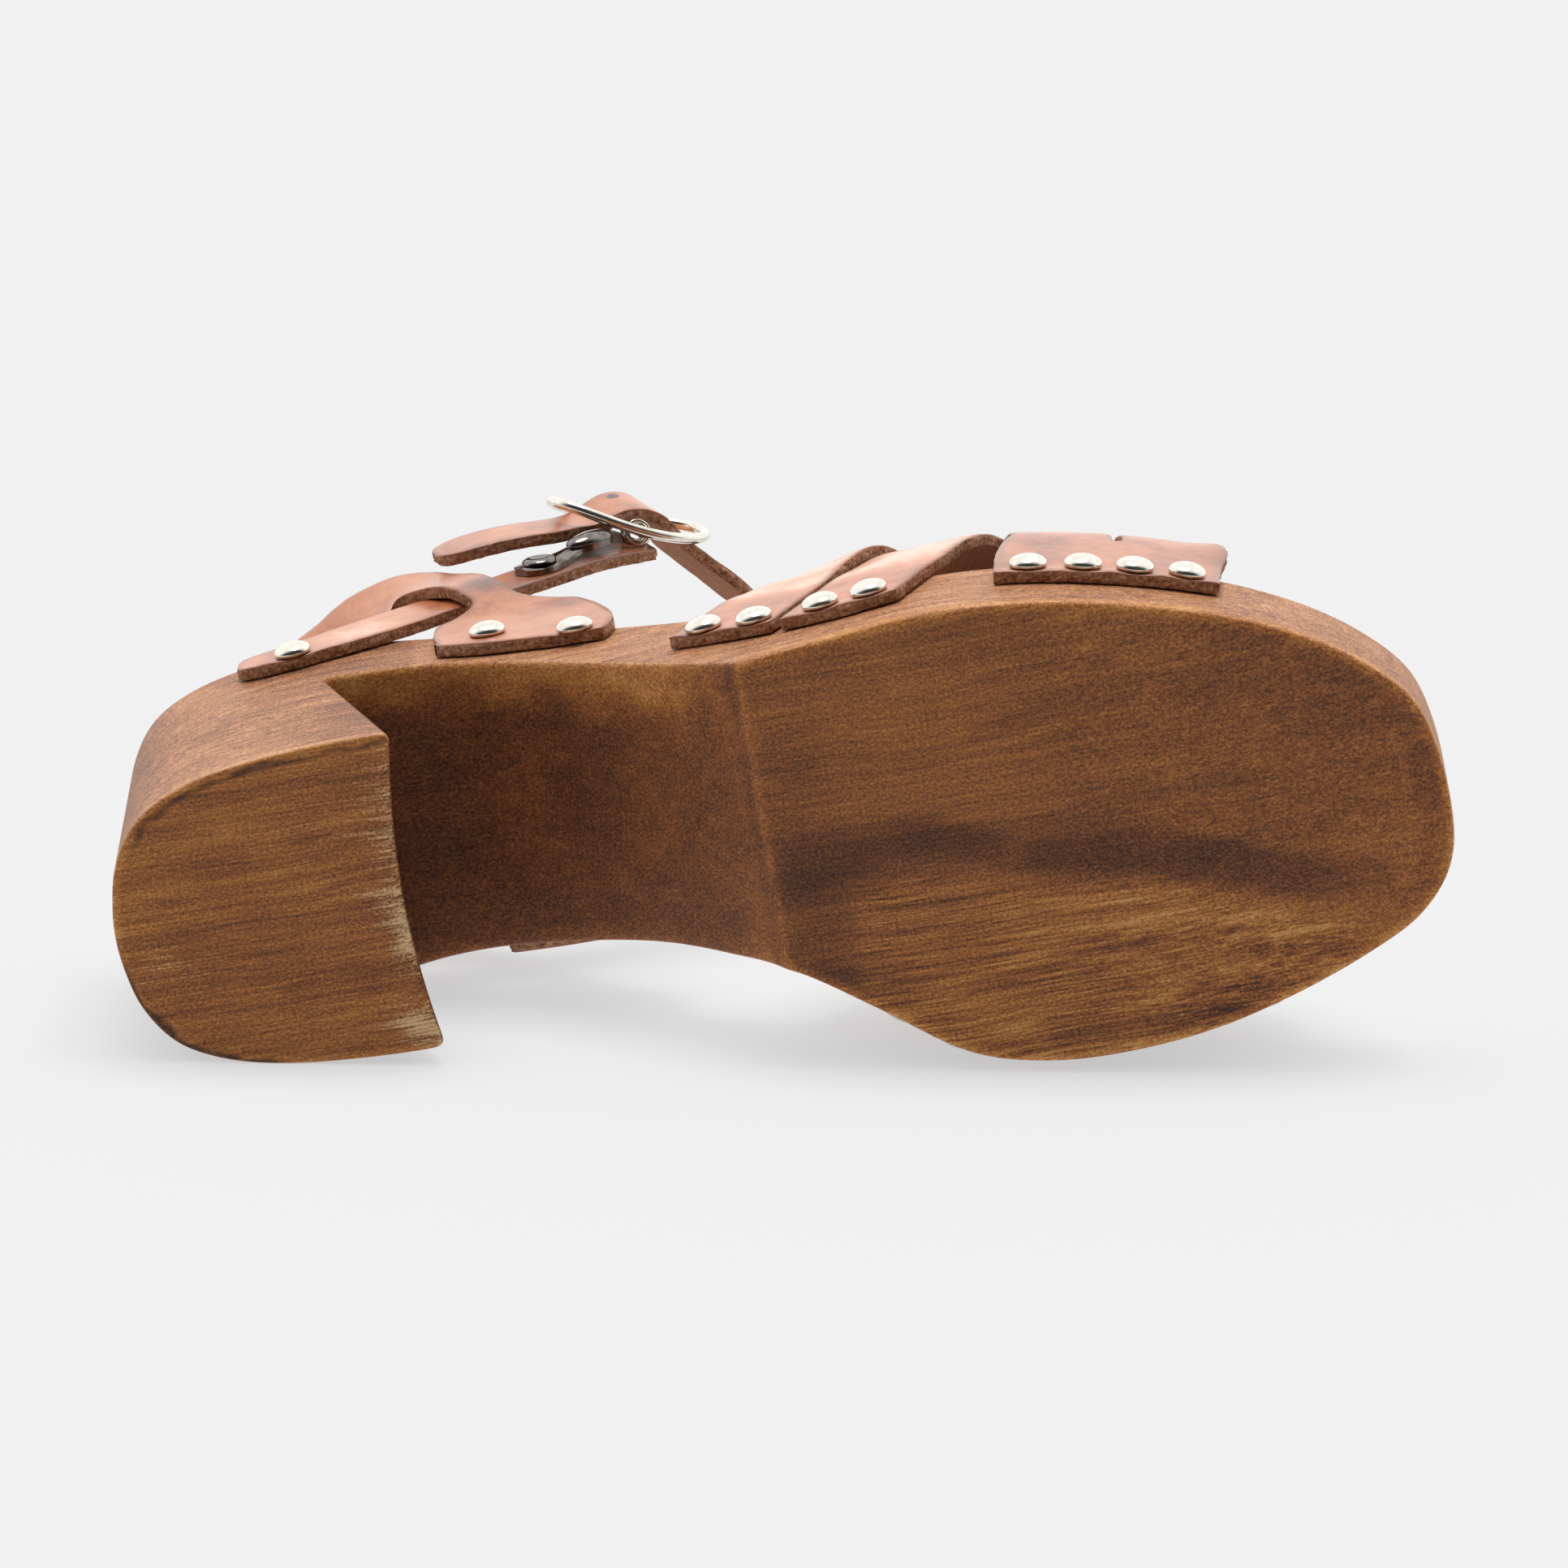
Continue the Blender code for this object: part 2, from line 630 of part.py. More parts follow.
def outward(p):
    """Direction away from the ankle at a strap's point."""
    x, y, z = p
    v = np.array((x - min(max(x, 31.0), 85.0), y, 0.0))
    v /= max(np.linalg.norm(v), 1e-6)
    v[2] = (0.45 * step(96.0, 107.0, x)
            - 0.26 * step(14.0, 32.0, x) * (1 - step(52.0, 62.0, x)) * step(76.0, 84.0, z))
    return v / np.linalg.norm(v)


def against_wall(p):
    """Lay a strap's inner face against the sole's wall, and leave it gently above the footbed."""
    x, y, z = p
    if not 0.0 < x < 110.0:
        return p
    side = 1 if y > 0 else -1
    slope = (wall(x + 1, side) - wall(x - 1, side)) / 2
    seat = wall(x, side) + GAP * sqrt(1 + slope * slope)
    out = side * y
    hug = 1.0 - step(footbed(x), footbed(x) + 9.0, z)
    if abs(out - seat) < 4.0:
        out += (seat - out) * hug
    if z < footbed(x) + INSOLE + 1.2:
        out = max(out, seat)
    return np.array((x, side * out, z))


def ribbon(name, path, guide=True, per_span=2, across=4):
    """Flat strap along a path of x, y, z and half width."""
    pts = catmull(path, per_span)
    count = len(pts)
    centres = np.array([p[:3] for p in pts])
    halves = np.array([p[3] for p in pts])
    tangents = np.gradient(centres, axis=0)
    tangents /= np.linalg.norm(tangents, axis=1)[:, None]
    verts, faces = [], []
    m = across + 1
    for i in range(count):
        nrm = outward(centres[i])
        nrm = nrm - tangents[i] * float(nrm @ tangents[i])
        nrm /= np.linalg.norm(nrm)
        wide = np.cross(tangents[i], nrm)
        for k in range(m):
            p = centres[i] + wide * halves[i] * (2 * k / across - 1)
            inner = against_wall(p - nrm * LEATHER / 2)
            verts.append(inner)
            verts.append(inner + nrm * LEATHER)
    row = 2 * m
    for i in range(count - 1):
        for k in range(across):
            a = i * row + 2 * k
            faces.append((a, a + 2, a + row + 2, a + row))
            faces.append((a + 1, a + row + 1, a + row + 3, a + 3))
        a, b = i * row, i * row + 2 * across
        faces.append((a, a + row, a + row + 1, a + 1))
        faces.append((b, b + 1, b + row + 1, b + row))
    for base in (0, (count - 1) * row):
        for k in range(across):
            a = base + 2 * k
            faces.append((a, a + 1, a + 3, a + 2))
    return add_object(name, verts, faces, "leather", guide=guide)


def buckle_frame():
    """Centre of the ring and its directions: along the strap, away from the ankle, across."""
    ax, ay, az = BUCKLE_ALONG
    along = np.array((ax, -ay, az))
    along /= np.linalg.norm(along)
    out = np.cross(along, (0.0, 0.0, 1.0))
    out /= np.linalg.norm(out)
    up = np.cross(out, along)
    lean = RING_LEAN * pi / 180
    out, up = out * cos(lean) + up * sin(lean), up * cos(lean) - out * sin(lean)
    x, lateral, z = BUCKLE_CENTRE
    return np.array((x, -lateral, z)), along, out, up


def ring_frame():
    """The same for the ring itself, which lies inside the strap's loop."""
    centre, along, out, up = buckle_frame()
    centre = centre - out * RING_SINK
    tilt = RING_TILT * pi / 180
    out, up = out * cos(tilt) + up * sin(tilt), up * cos(tilt) - out * sin(tilt)
    size = sqrt(1 + RING_TURN ** 2)
    return centre, (along - out * RING_TURN) / size, (out + along * RING_TURN) / size, up


def heel_straps():
    lateral = [(x, -o, z, h) for x, o, z, h in BACK_STRAP]
    medial = []
    for x, o, z, h in BACK_STRAP[1:]:
        x += MEDIAL_TAB_SHIFT * step(46.0, 70.0, x)
        medial.append((x, fit_side(x, o, z), z, h))
    back = ribbon("heel_straps", lateral[::-1] + medial, guide=False)
    hook = ribbon("hook_strap_piece", [(x, -o, z, h) for x, o, z, h in HOOK_STRAP])
    centre, along, out, up = buckle_frame()
    path = [(x, fit_side(x, y, z) if y > 20 else y, z, h) for x, y, z, h in ANKLE_STRAP]
    for a, o, u, h in BUCKLE_RUN:
        p = centre + along * a + out * o + up * u
        path.append((p[0], p[1], p[2], h))
    ankle = ribbon("ankle_strap_piece", path)
    union(back, hook, ankle)
    return back, hook, ankle


# ------------------------------------------------------------------ studs, buckle, hook
def dome(name, centre, normal, radius, rise, slot, sides=12, rings=3, base=0.35):
    """Domed head with a flat back."""
    nrm = np.array(normal) / np.linalg.norm(normal)
    u = np.cross(nrm, (0.0, 0.0, 1.0))
    u /= np.linalg.norm(u)
    v = np.cross(nrm, u)
    verts, faces = [np.array(centre)], []
    profile = [(radius, 0.0)]
    for k in range(rings):
        a = (pi / 2) * k / rings
        profile.append((radius * cos(a), base + (rise - base) * sin(a)))
    for r, h in profile:
        for s in range(sides):
            t = 2 * pi * s / sides
            verts.append(np.array(centre) + nrm * h + (u * cos(t) + v * sin(t)) * r)
    verts.append(np.array(centre) + nrm * rise)
    for s in range(sides):
        q = (s + 1) % sides
        faces.append((0, 1 + q, 1 + s))
        for k in range(len(profile) - 1):
            a = 1 + k * sides
            faces.append((a + s, a + q, a + sides + q, a + sides + s))
        a = 1 + (len(profile) - 1) * sides
        faces.append((a + s, a + q, len(verts) - 1))
    return add_object(name, verts, faces, slot)


def stud_places(side):
    places = []
    for group, x, z in STUDS:
        if side > 0 and group == "tab":
            x += MEDIAL_TAB_SHIFT
            z += MEDIAL_STUD_RISE
        if group in ("mid", "front"):
            x += VAMP_MEDIAL_SHIFT if side > 0 else 0.0
            z = smooth(VAMP_EDGE, x, 1 if side < 0 else 2) + STUD_ABOVE_EDGE
        slope = (wall(x + 2, side) - wall(x - 2, side)) / 4
        normal = np.array((-slope, side, 0.0))
        normal /= np.linalg.norm(normal)
        foot = np.array((x, side * wall(x, side), z))
        hollow = (wall(x + STUD_RADIUS, side) + wall(x - STUD_RADIUS, side)) / 2 - wall(x, side)
        places.append((foot + normal * (2 * GAP + LEATHER + 0.12 + max(hollow, 0.0) * 1.5), normal))
    return places


def studs():
    made = []
    for side, word in ((-1, "lateral"), (1, "medial")):
        for k, (centre, normal) in enumerate(stud_places(side), 1):
            made.append(dome(f"stud_{word}_{k:02d}", centre, normal, STUD_RADIUS, STUD_RISE,
                             "nickel"))
    return made


def tube(points, frames, radius, sides, closed):
    verts, faces = [], []
    n = len(points)
    for p, (u, v) in zip(points, frames):
        for s in range(sides):
            t = 2 * pi * s / sides
            verts.append(p + (u * cos(t) + v * sin(t)) * radius)
    for i in range(n if closed else n - 1):
        a, b = i * sides, ((i + 1) % n) * sides
        for s in range(sides):
            q = (s + 1) % sides
            faces.append((a + s, a + q, b + q, b + s))
    if not closed:
        faces.append(tuple(range(sides))[::-1])
        faces.append(tuple((n - 1) * sides + s for s in range(sides)))
    return verts, faces


def buckle_ring():
    """Bowed oval ring with a bar across its middle."""
    centre, along, out, up = ring_frame()
    a, b = RING_LENGTH / 2, RING_HEIGHT / 2

    def at(t):
        p = abs(cos(t)) ** 0.9 * (1 if cos(t) >= 0 else -1), abs(sin(t)) ** 0.9 * (1 if sin(t) >= 0 else -1)
        twist = RING_TWIST * p[0] * pi / 180
        return (centre + along * a * p[0] + (up * cos(twist) + out * sin(twist)) * b * p[1]
                + out * RING_BOW * (p[0] ** 2))

    count = 36
    pts = [at(2 * pi * k / count) for k in range(count)]
    frames = []
    for k in range(count):
        t = pts[(k + 1) % count] - pts[k - 1]
        t /= np.linalg.norm(t)
        u = out - t * float(out @ t)
        u /= np.linalg.norm(u)
        frames.append((u, np.cross(t, u)))
    ring = add_object("buckle_ring", *tube(pts, frames, RING_WIRE, 8, True), "nickel")
    middle = centre - out * BAR_SET_BACK
    ends = [middle - up * (b - 0.1), middle - up * b / 3, middle + up * b / 3, middle + up * (b - 0.1)]
    bar = add_object("buckle_bar_piece",
                     *tube(ends, [(out, along)] * 4, RING_WIRE * 0.9, 8, False),
                     "nickel", guide=True)
    union(ring, bar)
    return ring, bar


def hook_plate():
    """Spoon-shaped plate on the lateral strap, lifting towards the ring."""
    path = [(x, -o, z) for x, o, z, h in HOOK_STRAP]
    run = catmull(path, 8)
    near = min(range(len(run)), key=lambda k: abs(run[k][0] - HOOK_X))
    t = run[near + 1] - run[near - 1]
    t /= np.linalg.norm(t)
    nrm = outward(run[near])
    nrm = nrm - t * float(nrm @ t)
    nrm /= np.linalg.norm(nrm)
    wide = np.cross(t, nrm)
    origin = np.array(run[near]) + nrm * (LEATHER / 2 + GAP)
    rows = catmull([(s, h, lift) for s, h, lift in HOOK_PLATE], 2)
    verts, faces = [], []
    for s, h, lift in rows:
        for k in (-1.0, 0.0, 1.0):
            p = origin + t * s + wide * h * k + nrm * lift
            verts.append(p)
            verts.append(p + nrm * HOOK_SHEET)
    for i in range(len(rows) - 1):
        a = 6 * i
        for k in (0, 2):
            faces.append((a + k, a + k + 2, a + k + 8, a + k + 6))
            faces.append((a + k + 1, a + k + 7, a + k + 9, a + k + 3))
        faces.append((a, a + 6, a + 7, a + 1))
        faces.append((a + 4, a + 5, a + 11, a + 10))
    for a in (0, 6 * (len(rows) - 1)):
        for k in (0, 2):
            faces.append((a + k, a + k + 1, a + k + 3, a + k + 2))
    plate = add_object("hook_plate", verts, faces, "dark_nickel")
    rivet = dome("hook_rivet", origin + nrm * (HOOK_SHEET + GAP), nrm, 3.2, 1.3, "dark_nickel")
    return plate, rivet


# ------------------------------------------------------------------ assembly
def standing_points(objects):
    pts = []
    for obj in objects:
        pts.extend([v.co.copy() for v in obj.data.vertices])
    return pts


def centre_of_mass(obj):
    """Volume centroid of a closed mesh."""
    total, moment = 0.0, Vector((0, 0, 0))
    for tri in obj.data.polygons:
        a, b, c = (obj.data.vertices[i].co for i in tri.vertices)
        vol = a.dot(b.cross(c)) / 6
        total += vol
        moment += vol * (a + b + c) / 4
    return moment / total


def lying_matrix(points, weight_at):
    """Turn the shoe so that the medial hull face under its weight lies on the floor."""
    bm = bmesh.new()
    for p in points:
        bm.verts.new(p)
    result = bmesh.ops.convex_hull(bm, input=bm.verts)
    best = None
    for face in [g for g in result["geom"] if isinstance(g, bmesh.types.BMFace)]:
        a, b, c = (v.co for v in face.verts[:3])
        nrm = (b - a).cross(c - a)
        if nrm.length < 1e-6:
            continue
        nrm.normalize()
        if nrm.dot(a - weight_at) < 0:
            nrm.negate()
        if nrm.y < 0.9:
            continue
        foot = weight_at + nrm * nrm.dot(a - weight_at)
        inside = True
        for p, q in ((a, b), (b, c), (c, a)):
            turn = (q - p).cross(foot - p).dot((b - a).cross(c - a))
            inside = inside and turn >= 0
        if inside and (best is None or nrm.y > best[0].y):
            best = (nrm.copy(), [a.copy(), b.copy(), c.copy()])
    bm.free()
    nrm, contact = best
    up = -nrm
    along = Vector((1, 0, 0)) - up * up.x
    along.normalize()
    depth = up.cross(along)
    turn = Matrix((along, depth, up)).to_4x4()
    moved = [turn @ p for p in points]
    lo = Vector([min(p[k] for p in moved) for k in range(3)])
    hi = Vector([max(p[k] for p in moved) for k in range(3)])
    shift = Matrix.Translation((-(lo.x + hi.x) / 2, -(lo.y + hi.y) / 2, -lo.z))
    return Matrix.Scale(MM, 4) @ shift @ turn


wood = sole()
cover = insole()
vamp, vamp_medial = vamp_piece(0), vamp_piece(1)
union(vamp, vamp_medial)
back, hook_strap, ankle_strap = heel_straps()
nails = studs()
ring, bar = buckle_ring()
plate, rivet = hook_plate()

everything = [wood, cover, vamp, vamp_medial, back, hook_strap, ankle_strap, ring, bar, plate, rivet] + nails
pose = bpy.data.objects.new("lying_pose", None)
bpy.context.scene.collection.objects.link(pose)
pose.matrix_world = lying_matrix(standing_points(everything), centre_of_mass(wood))
for obj in everything:
    obj.parent = pose
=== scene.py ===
"""Looks of the wooden sole sandal, a right shoe lying on its side on a pale floor.

Shapes are worked out in the shoe's standing frame: X from the back of the heel to the toe, Y towards
the medial side, Z up from the tread, in millimetres.  The record's two tread mounts bring it to the
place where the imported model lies.
"""
import json
from math import sin, cos, pi, radians
import bpy
import bmesh
import numpy as np
from mathutils import Matrix, Vector

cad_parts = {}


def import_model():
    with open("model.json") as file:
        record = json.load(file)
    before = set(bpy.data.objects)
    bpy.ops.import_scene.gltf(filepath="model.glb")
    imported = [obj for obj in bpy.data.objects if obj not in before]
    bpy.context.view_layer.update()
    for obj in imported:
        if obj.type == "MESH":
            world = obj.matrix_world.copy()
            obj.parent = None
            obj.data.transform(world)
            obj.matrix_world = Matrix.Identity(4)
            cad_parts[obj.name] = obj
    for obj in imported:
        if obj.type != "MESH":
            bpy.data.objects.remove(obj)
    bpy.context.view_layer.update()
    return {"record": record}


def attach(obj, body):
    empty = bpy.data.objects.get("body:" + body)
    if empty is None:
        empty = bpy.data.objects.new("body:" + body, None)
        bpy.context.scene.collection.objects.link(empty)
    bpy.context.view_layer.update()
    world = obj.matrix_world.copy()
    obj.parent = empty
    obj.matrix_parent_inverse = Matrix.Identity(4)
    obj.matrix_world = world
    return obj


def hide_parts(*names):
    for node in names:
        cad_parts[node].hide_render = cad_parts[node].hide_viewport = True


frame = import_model()
MM = 0.001

# ------------------------------------------------------------------ sizes (millimetres)
LENGTH = 236.6
TOE_TIP_MEDIAL = 17.5
GAP = 0.3
LEATHER = 2.2
INSOLE = 1.5
INSOLE_INSET = 0.7
RIDGE_X = 116.3
BREAST_FOOT_X = 54.6
BREAST_HEAD_X = 41.0
BREAST_HOLLOW = 2.8
TOE_SPRING = 6.5
TOE_SPRING_X = 166.0
STUD_RADIUS = 3.4
STUD_RISE = 1.7
RING_LENGTH = 30.0
RING_HEIGHT = 17.8
RING_WIRE = 1.0
RING_BOW = 1.4
RING_SINK = 2.2
RING_TURN = 0.05
RING_LEAN = 5.0
RING_TILT = 4.0
RING_TWIST = 5.0
BAR_SET_BACK = 0.4

PLAN = [
    # x      lateral  medial  heel
    (0.5,    5.8,     5.8,    5.8),
    (2.4,    13.2,    13.2,   13.2),
    (7.2,    20.4,    20.4,   20.4),
    (14.5,   24.7,    24.7,   24.7),
    (25.0,   27.5,    27.4,   27.5),
    (41.0,   29.0,    28.0,   29.0),
    (54.6,   29.1,    25.8,   29.2),
    (75.0,   28.8,    24.2,   None),
    (95.0,   29.4,    23.0,   None),
    (107.0,  30.5,    23.9,   None),
    (116.3,  31.5,    25.5,   None),
    (131.0,  33.0,    35.2,   None),
    (146.0,  34.7,    45.9,   None),
    (160.0,  34.7,    49.7,   None),
    (175.0,  32.9,    50.2,   None),
    (190.0,  29.4,    48.7,   None),
    (205.0,  24.3,    45.0,   None),
    (218.0,  17.6,    40.4,   None),
    (227.5,  10.2,    35.8,   None),
    (233.2,  3.2,     30.2,   None),
    (235.8,  -5.6,    24.6,   None),
]
BREAST_ROW, RIDGE_ROW, TIP_ROW = 6, 11, 22     # plan rows of the breast's head, the ridge, the tip
FOOTBED = [
    # x      height
    (0.0,    70.0), (28.0, 70.0), (45.0, 68.6), (61.0, 63.8), (78.0, 57.0), (96.0, 47.6),
    (112.0,  37.4), (124.0, 31.6), (138.0, 28.2), (155.0, 27.0), (185.0, 27.2), (210.0, 28.0),
    (237.0,  29.6),
]
ARCH = [
    # x      height
    (36.0,   48.2), (41.0, 47.8), (53.0, 46.3), (62.0, 44.6), (70.0, 41.0), (78.0, 36.0),
    (87.0,   29.0), (96.0, 20.8), (105.0, 11.8), (111.5, 5.2), (116.3, 0.0),
]
INSTEP = [
    # x      rise   fullness: medial, lateral
    (98.0,   54.0,  2.7,  2.8),
    (115.0,  49.5,  2.7,  2.9),
    (135.0,  44.0,  2.6,  3.0),
    (155.0,  39.5,  2.5,  3.1),
    (175.0,  36.0,  2.4,  3.4),
    (205.0,  32.5,  2.4,  3.4),
]
VAMP_EDGE = [
    # x      lateral  medial
    (100.0,  24.0,    28.0),
    (112.0,  17.6,    21.0),
    (124.0,  13.4,    16.6),
    (140.0,  11.4,    15.0),
    (152.0,  12.6,    15.0),
    (165.0,  13.6,    15.4),
    (180.0,  13.6,    15.4),
    (208.0,  15.2,    16.8),
]
VAMP_STRAPS = [
    # name     front x  half   back x  half
    ("rear",   173.2,   9.0,   113.8,  9.2),
    ("front",  192.4,   8.8,   135.4,  10.5),
]
VAMP_TAB_END = 0.150
VAMP_TAB_LIP = 0.9
TAB_HOLD = 0.14
VAMP_MEDIAL_SHIFT = 3.0
WEAVE = 1.25

BACK_STRAP = [
    # x      out     z      half width
    (6.0,    0.0,    86.0,  8.0),
    (7.4,    6.6,    86.1,  8.0),
    (12.4,   12.2,   86.5,  8.0),
    (20.0,   15.8,   87.3,  8.0),
    (31.0,   19.2,   89.2,  8.0),
    (41.0,   23.9,   91.6,  8.0),
    (48.0,   28.2,   92.8,  8.0),
    (55.5,   31.0,   91.4,  7.0),
    (61.4,   32.1,   86.8,  5.6),
    (66.2,   32.7,   80.6,  4.4),
    (69.9,   32.5,   74.4,  4.0),
    (72.4,   31.7,   69.6,  4.6),
    (73.2,   31.1,   66.4,  8.8),
    (73.8,   30.8,   63.4,  12.8),
    (75.4,   30.4,   58.4,  14.9),
    (77.2,   30.2,   53.0,  15.8),
    (77.6,   30.2,   47.6,  16.2),
    (76.8,   30.2,   43.6,  15.4),
]
MEDIAL_TAB_SHIFT = 4.0
MEDIAL_STUD_RISE = 3.5
HOOK_STRAP = [
    # x      out     z      half width
    (25.0,   29.2,   62.4,  3.4),
    (29.5,   29.8,   62.2,  4.6),
    (36.0,   30.4,   63.2,  5.4),
    (45.0,   30.6,   67.0,  6.0),
    (55.0,   30.7,   73.0,  6.0),
    (66.0,   30.6,   80.4,  6.0),
    (76.0,   30.3,   89.2,  6.0),
    (86.0,   29.9,   98.6,  6.0),
    (92.0,   29.4,   105.6, 6.0),
    (96.8,   28.8,   111.0, 6.0),
]
ANKLE_STRAP = [
    # x      y (medial)  z   half width
    (25.0,   29.2,   62.4,  3.4),
    (29.5,   29.8,   62.2,  4.6),
    (36.0,   30.4,   63.2,  5.4),
    (45.0,   30.6,   67.0,  6.0),
    (55.0,   30.7,   73.0,  6.0),
    (66.0,   30.6,   80.4,  6.0),
    (76.0,   30.3,   89.2,  6.0),
    (87.0,   29.6,   99.4,  6.0),
    (98.5,   27.6,   108.2, 6.0),
    (109.0,  22.2,   115.2, 6.0),
    (115.8,  14.0,   119.8, 6.0),
    (119.4,  4.0,    121.9, 6.0),
    (118.4,  -5.2,   121.6, 6.0),
    (113.8,  -13.9,  119.8, 6.0),
]
BUCKLE_RUN = [
    # along  out    up     half width
    (14.8,   -7.0,  0.6,   6.0),
    (8.8,    -3.8,  0.2,   6.0),
    (3.6,    0.4,   0.0,   6.0),
    (0.0,    1.3,   0.0,   6.0),
    (-3.6,   0.4,   -0.1,  6.0),
    (-8.8,   -3.3,  -0.3,  6.0),
    (-14.8,  -5.3,  -0.6,  6.0),
    (-22.0,  -7.4,  -0.5,  6.0),
    (-30.0,  -10.8, 0.4,   6.0),
    (-35.3,  -13.7, 1.0,   4.6),
]
BUCKLE_CENTRE = (96.6, 33.8, 115.0)
BUCKLE_ALONG = (0.860, -0.370, 0.360)
STUDS = [
    # group     x       z
    ("heel",    35.4,   60.6),
    ("tab",     71.0,   52.0),
    ("tab",     87.2,   43.8),
    ("mid",     111.2,  None),
    ("mid",     120.4,  None),
    ("mid",     132.6,  None),
    ("mid",     141.4,  None),
    ("front",   169.2,  None),
    ("front",   178.6,  None),
    ("front",   187.4,  None),
    ("front",   196.2,  None),
]
STUD_ABOVE_EDGE = 3.6
HOOK_PLATE = [
    # along  half width  lift
    (-4.6,   1.6,        0.0),
    (-3.0,   3.6,        0.0),
    (0.0,    4.4,        0.0),
    (4.0,    3.4,        0.1),
    (8.0,    2.2,        0.7),
    (11.0,   3.0,        1.1),
    (14.0,   3.2,        1.2),
    (16.6,   2.1,        0.9),
]
HOOK_SHEET = 1.0
HOOK_X = 80.2


# ------------------------------------------------------------------ numbers
SLOPES = {}


def smooth(table, x, column=1):
    """Monotone cubic through a table's column, for numbers and arrays."""
    key = (id(table), column)
    if key not in SLOPES:
        xs = np.array([row[0] for row in table], float)
        ys = np.array([row[column] for row in table], float)
        h = np.diff(xs)
        d = np.diff(ys) / h
        m = np.zeros(len(xs))
        m[0], m[-1] = d[0], d[-1]
        for i in range(1, len(xs) - 1):
            if d[i - 1] * d[i] > 0:
                w1, w2 = 2 * h[i] + h[i - 1], h[i] + 2 * h[i - 1]
                m[i] = (w1 + w2) / (w1 / d[i - 1] + w2 / d[i])
        SLOPES[key] = xs, ys, h, m
    xs, ys, h, m = SLOPES[key]
    x = np.clip(np.asarray(x, float), xs[0], xs[-1])
    i = np.clip(np.searchsorted(xs, x, side="right") - 1, 0, len(xs) - 2)
    t = (x - xs[i]) / h[i]
    return (ys[i] * (1 + 2 * t) * (1 - t) ** 2 + m[i] * h[i] * t * (1 - t) ** 2
            + ys[i + 1] * t * t * (3 - 2 * t) + m[i + 1] * h[i] * t * t * (t - 1))


def step(a, b, x):
    t = np.clip((np.asarray(x, float) - a) / (b - a), 0.0, 1.0)
    return t * t * (3 - 2 * t)


def unit(v):
    return v / np.maximum(np.linalg.norm(v, axis=-1, keepdims=True), 1e-9)


def catmull(points, per_span, closed=False):
    """Centripetal spline through points, per_span samples for each span."""
    p = [np.array(q, float) for q in points]
    n = len(p)
    out = []
    for i in range(n if closed else n - 1):
        if closed:
            a, b, c, d = p[(i - 1) % n], p[i], p[(i + 1) % n], p[(i + 2) % n]
        else:
            b, c = p[i], p[i + 1]
            a = p[i - 1] if i else 2 * b - c
            d = p[i + 2] if i + 2 < n else 2 * c - b
        k = [0.0]
        for u, v in ((a, b), (b, c), (c, d)):
            k.append(k[-1] + max(np.linalg.norm((v - u)[:3]), 1e-6) ** 0.5)
        for j in range(per_span):
            t = k[1] + (k[2] - k[1]) * j / per_span
            a1 = a * (k[1] - t) / (k[1] - k[0]) + b * (t - k[0]) / (k[1] - k[0])
            a2 = b * (k[2] - t) / (k[2] - k[1]) + c * (t - k[1]) / (k[2] - k[1])
            a3 = c * (k[3] - t) / (k[3] - k[2]) + d * (t - k[2]) / (k[3] - k[2])
            b1 = a1 * (k[2] - t) / (k[2] - k[0]) + a2 * (t - k[0]) / (k[2] - k[0])
            b2 = a2 * (k[3] - t) / (k[3] - k[1]) + a3 * (t - k[1]) / (k[3] - k[1])
            out.append(b1 * (k[2] - t) / (k[2] - k[1]) + b2 * (t - k[1]) / (k[2] - k[1]))
    if not closed:
        out.append(p[-1])
    return out


def noise3(p, size, seed=0):
    """Smooth noise from -1 to 1 with features of a given size, one number or one for each axis."""
    q = np.asarray(p, float) / np.asarray(size, float) + 1000.0
    cell = np.floor(q)
    f = q - cell
    f = f * f * (3 - 2 * f)
    cell = cell.astype(np.uint64)
    total = 0.0
    for dx in (0, 1):
        for dy in (0, 1):
            for dz in (0, 1):
                h = ((cell[..., 0] + np.uint64(dx)) * np.uint64(374761393)
                     + (cell[..., 1] + np.uint64(dy)) * np.uint64(668265263)
                     + (cell[..., 2] + np.uint64(dz)) * np.uint64(2246822519)
                     + np.uint64(seed * 974711 + 12345))
                h = (h ^ (h >> np.uint64(13))) * np.uint64(1274126177)
                h = (h ^ (h >> np.uint64(16))) & np.uint64(0xffffff)
                w = ((f[..., 0] if dx else 1 - f[..., 0]) * (f[..., 1] if dy else 1 - f[..., 1])
                     * (f[..., 2] if dz else 1 - f[..., 2]))
                total = total + w * (h.astype(float) / 0x7fffff - 1.0)
    return total


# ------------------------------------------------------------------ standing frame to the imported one
MOUNTS = {m["name"]: m for m in frame["record"]["mounts"]}
HEEL_SPOT, FORE_SPOT = np.array((28.0, 0.0, 0.0)), np.array((142.0, 6.0, 0.0))


def standing_frame():
    p = np.array(MOUNTS["heel_tread"]["pos_m"], float)
    q = np.array(MOUNTS["forefoot_tread"]["pos_m"], float)
    up = unit(-np.array(MOUNTS["heel_tread"]["axis"], float))
    e1 = q - p
    e1 = unit(e1 - up * float(e1 @ up))
    d = unit(FORE_SPOT - HEEL_SPOT)
    z = np.array((0.0, 0.0, 1.0))
    turn = np.column_stack((e1, np.cross(up, e1), up)) @ np.column_stack((d, np.cross(z, d), z)).T
    return turn, p - turn @ HEEL_SPOT * MM


TURN, SHIFT = standing_frame()


def world(points):
    return np.asarray(points, float) @ TURN.T * MM + SHIFT


def standing(points):
    return (np.asarray(points, float) - SHIFT) @ TURN / MM


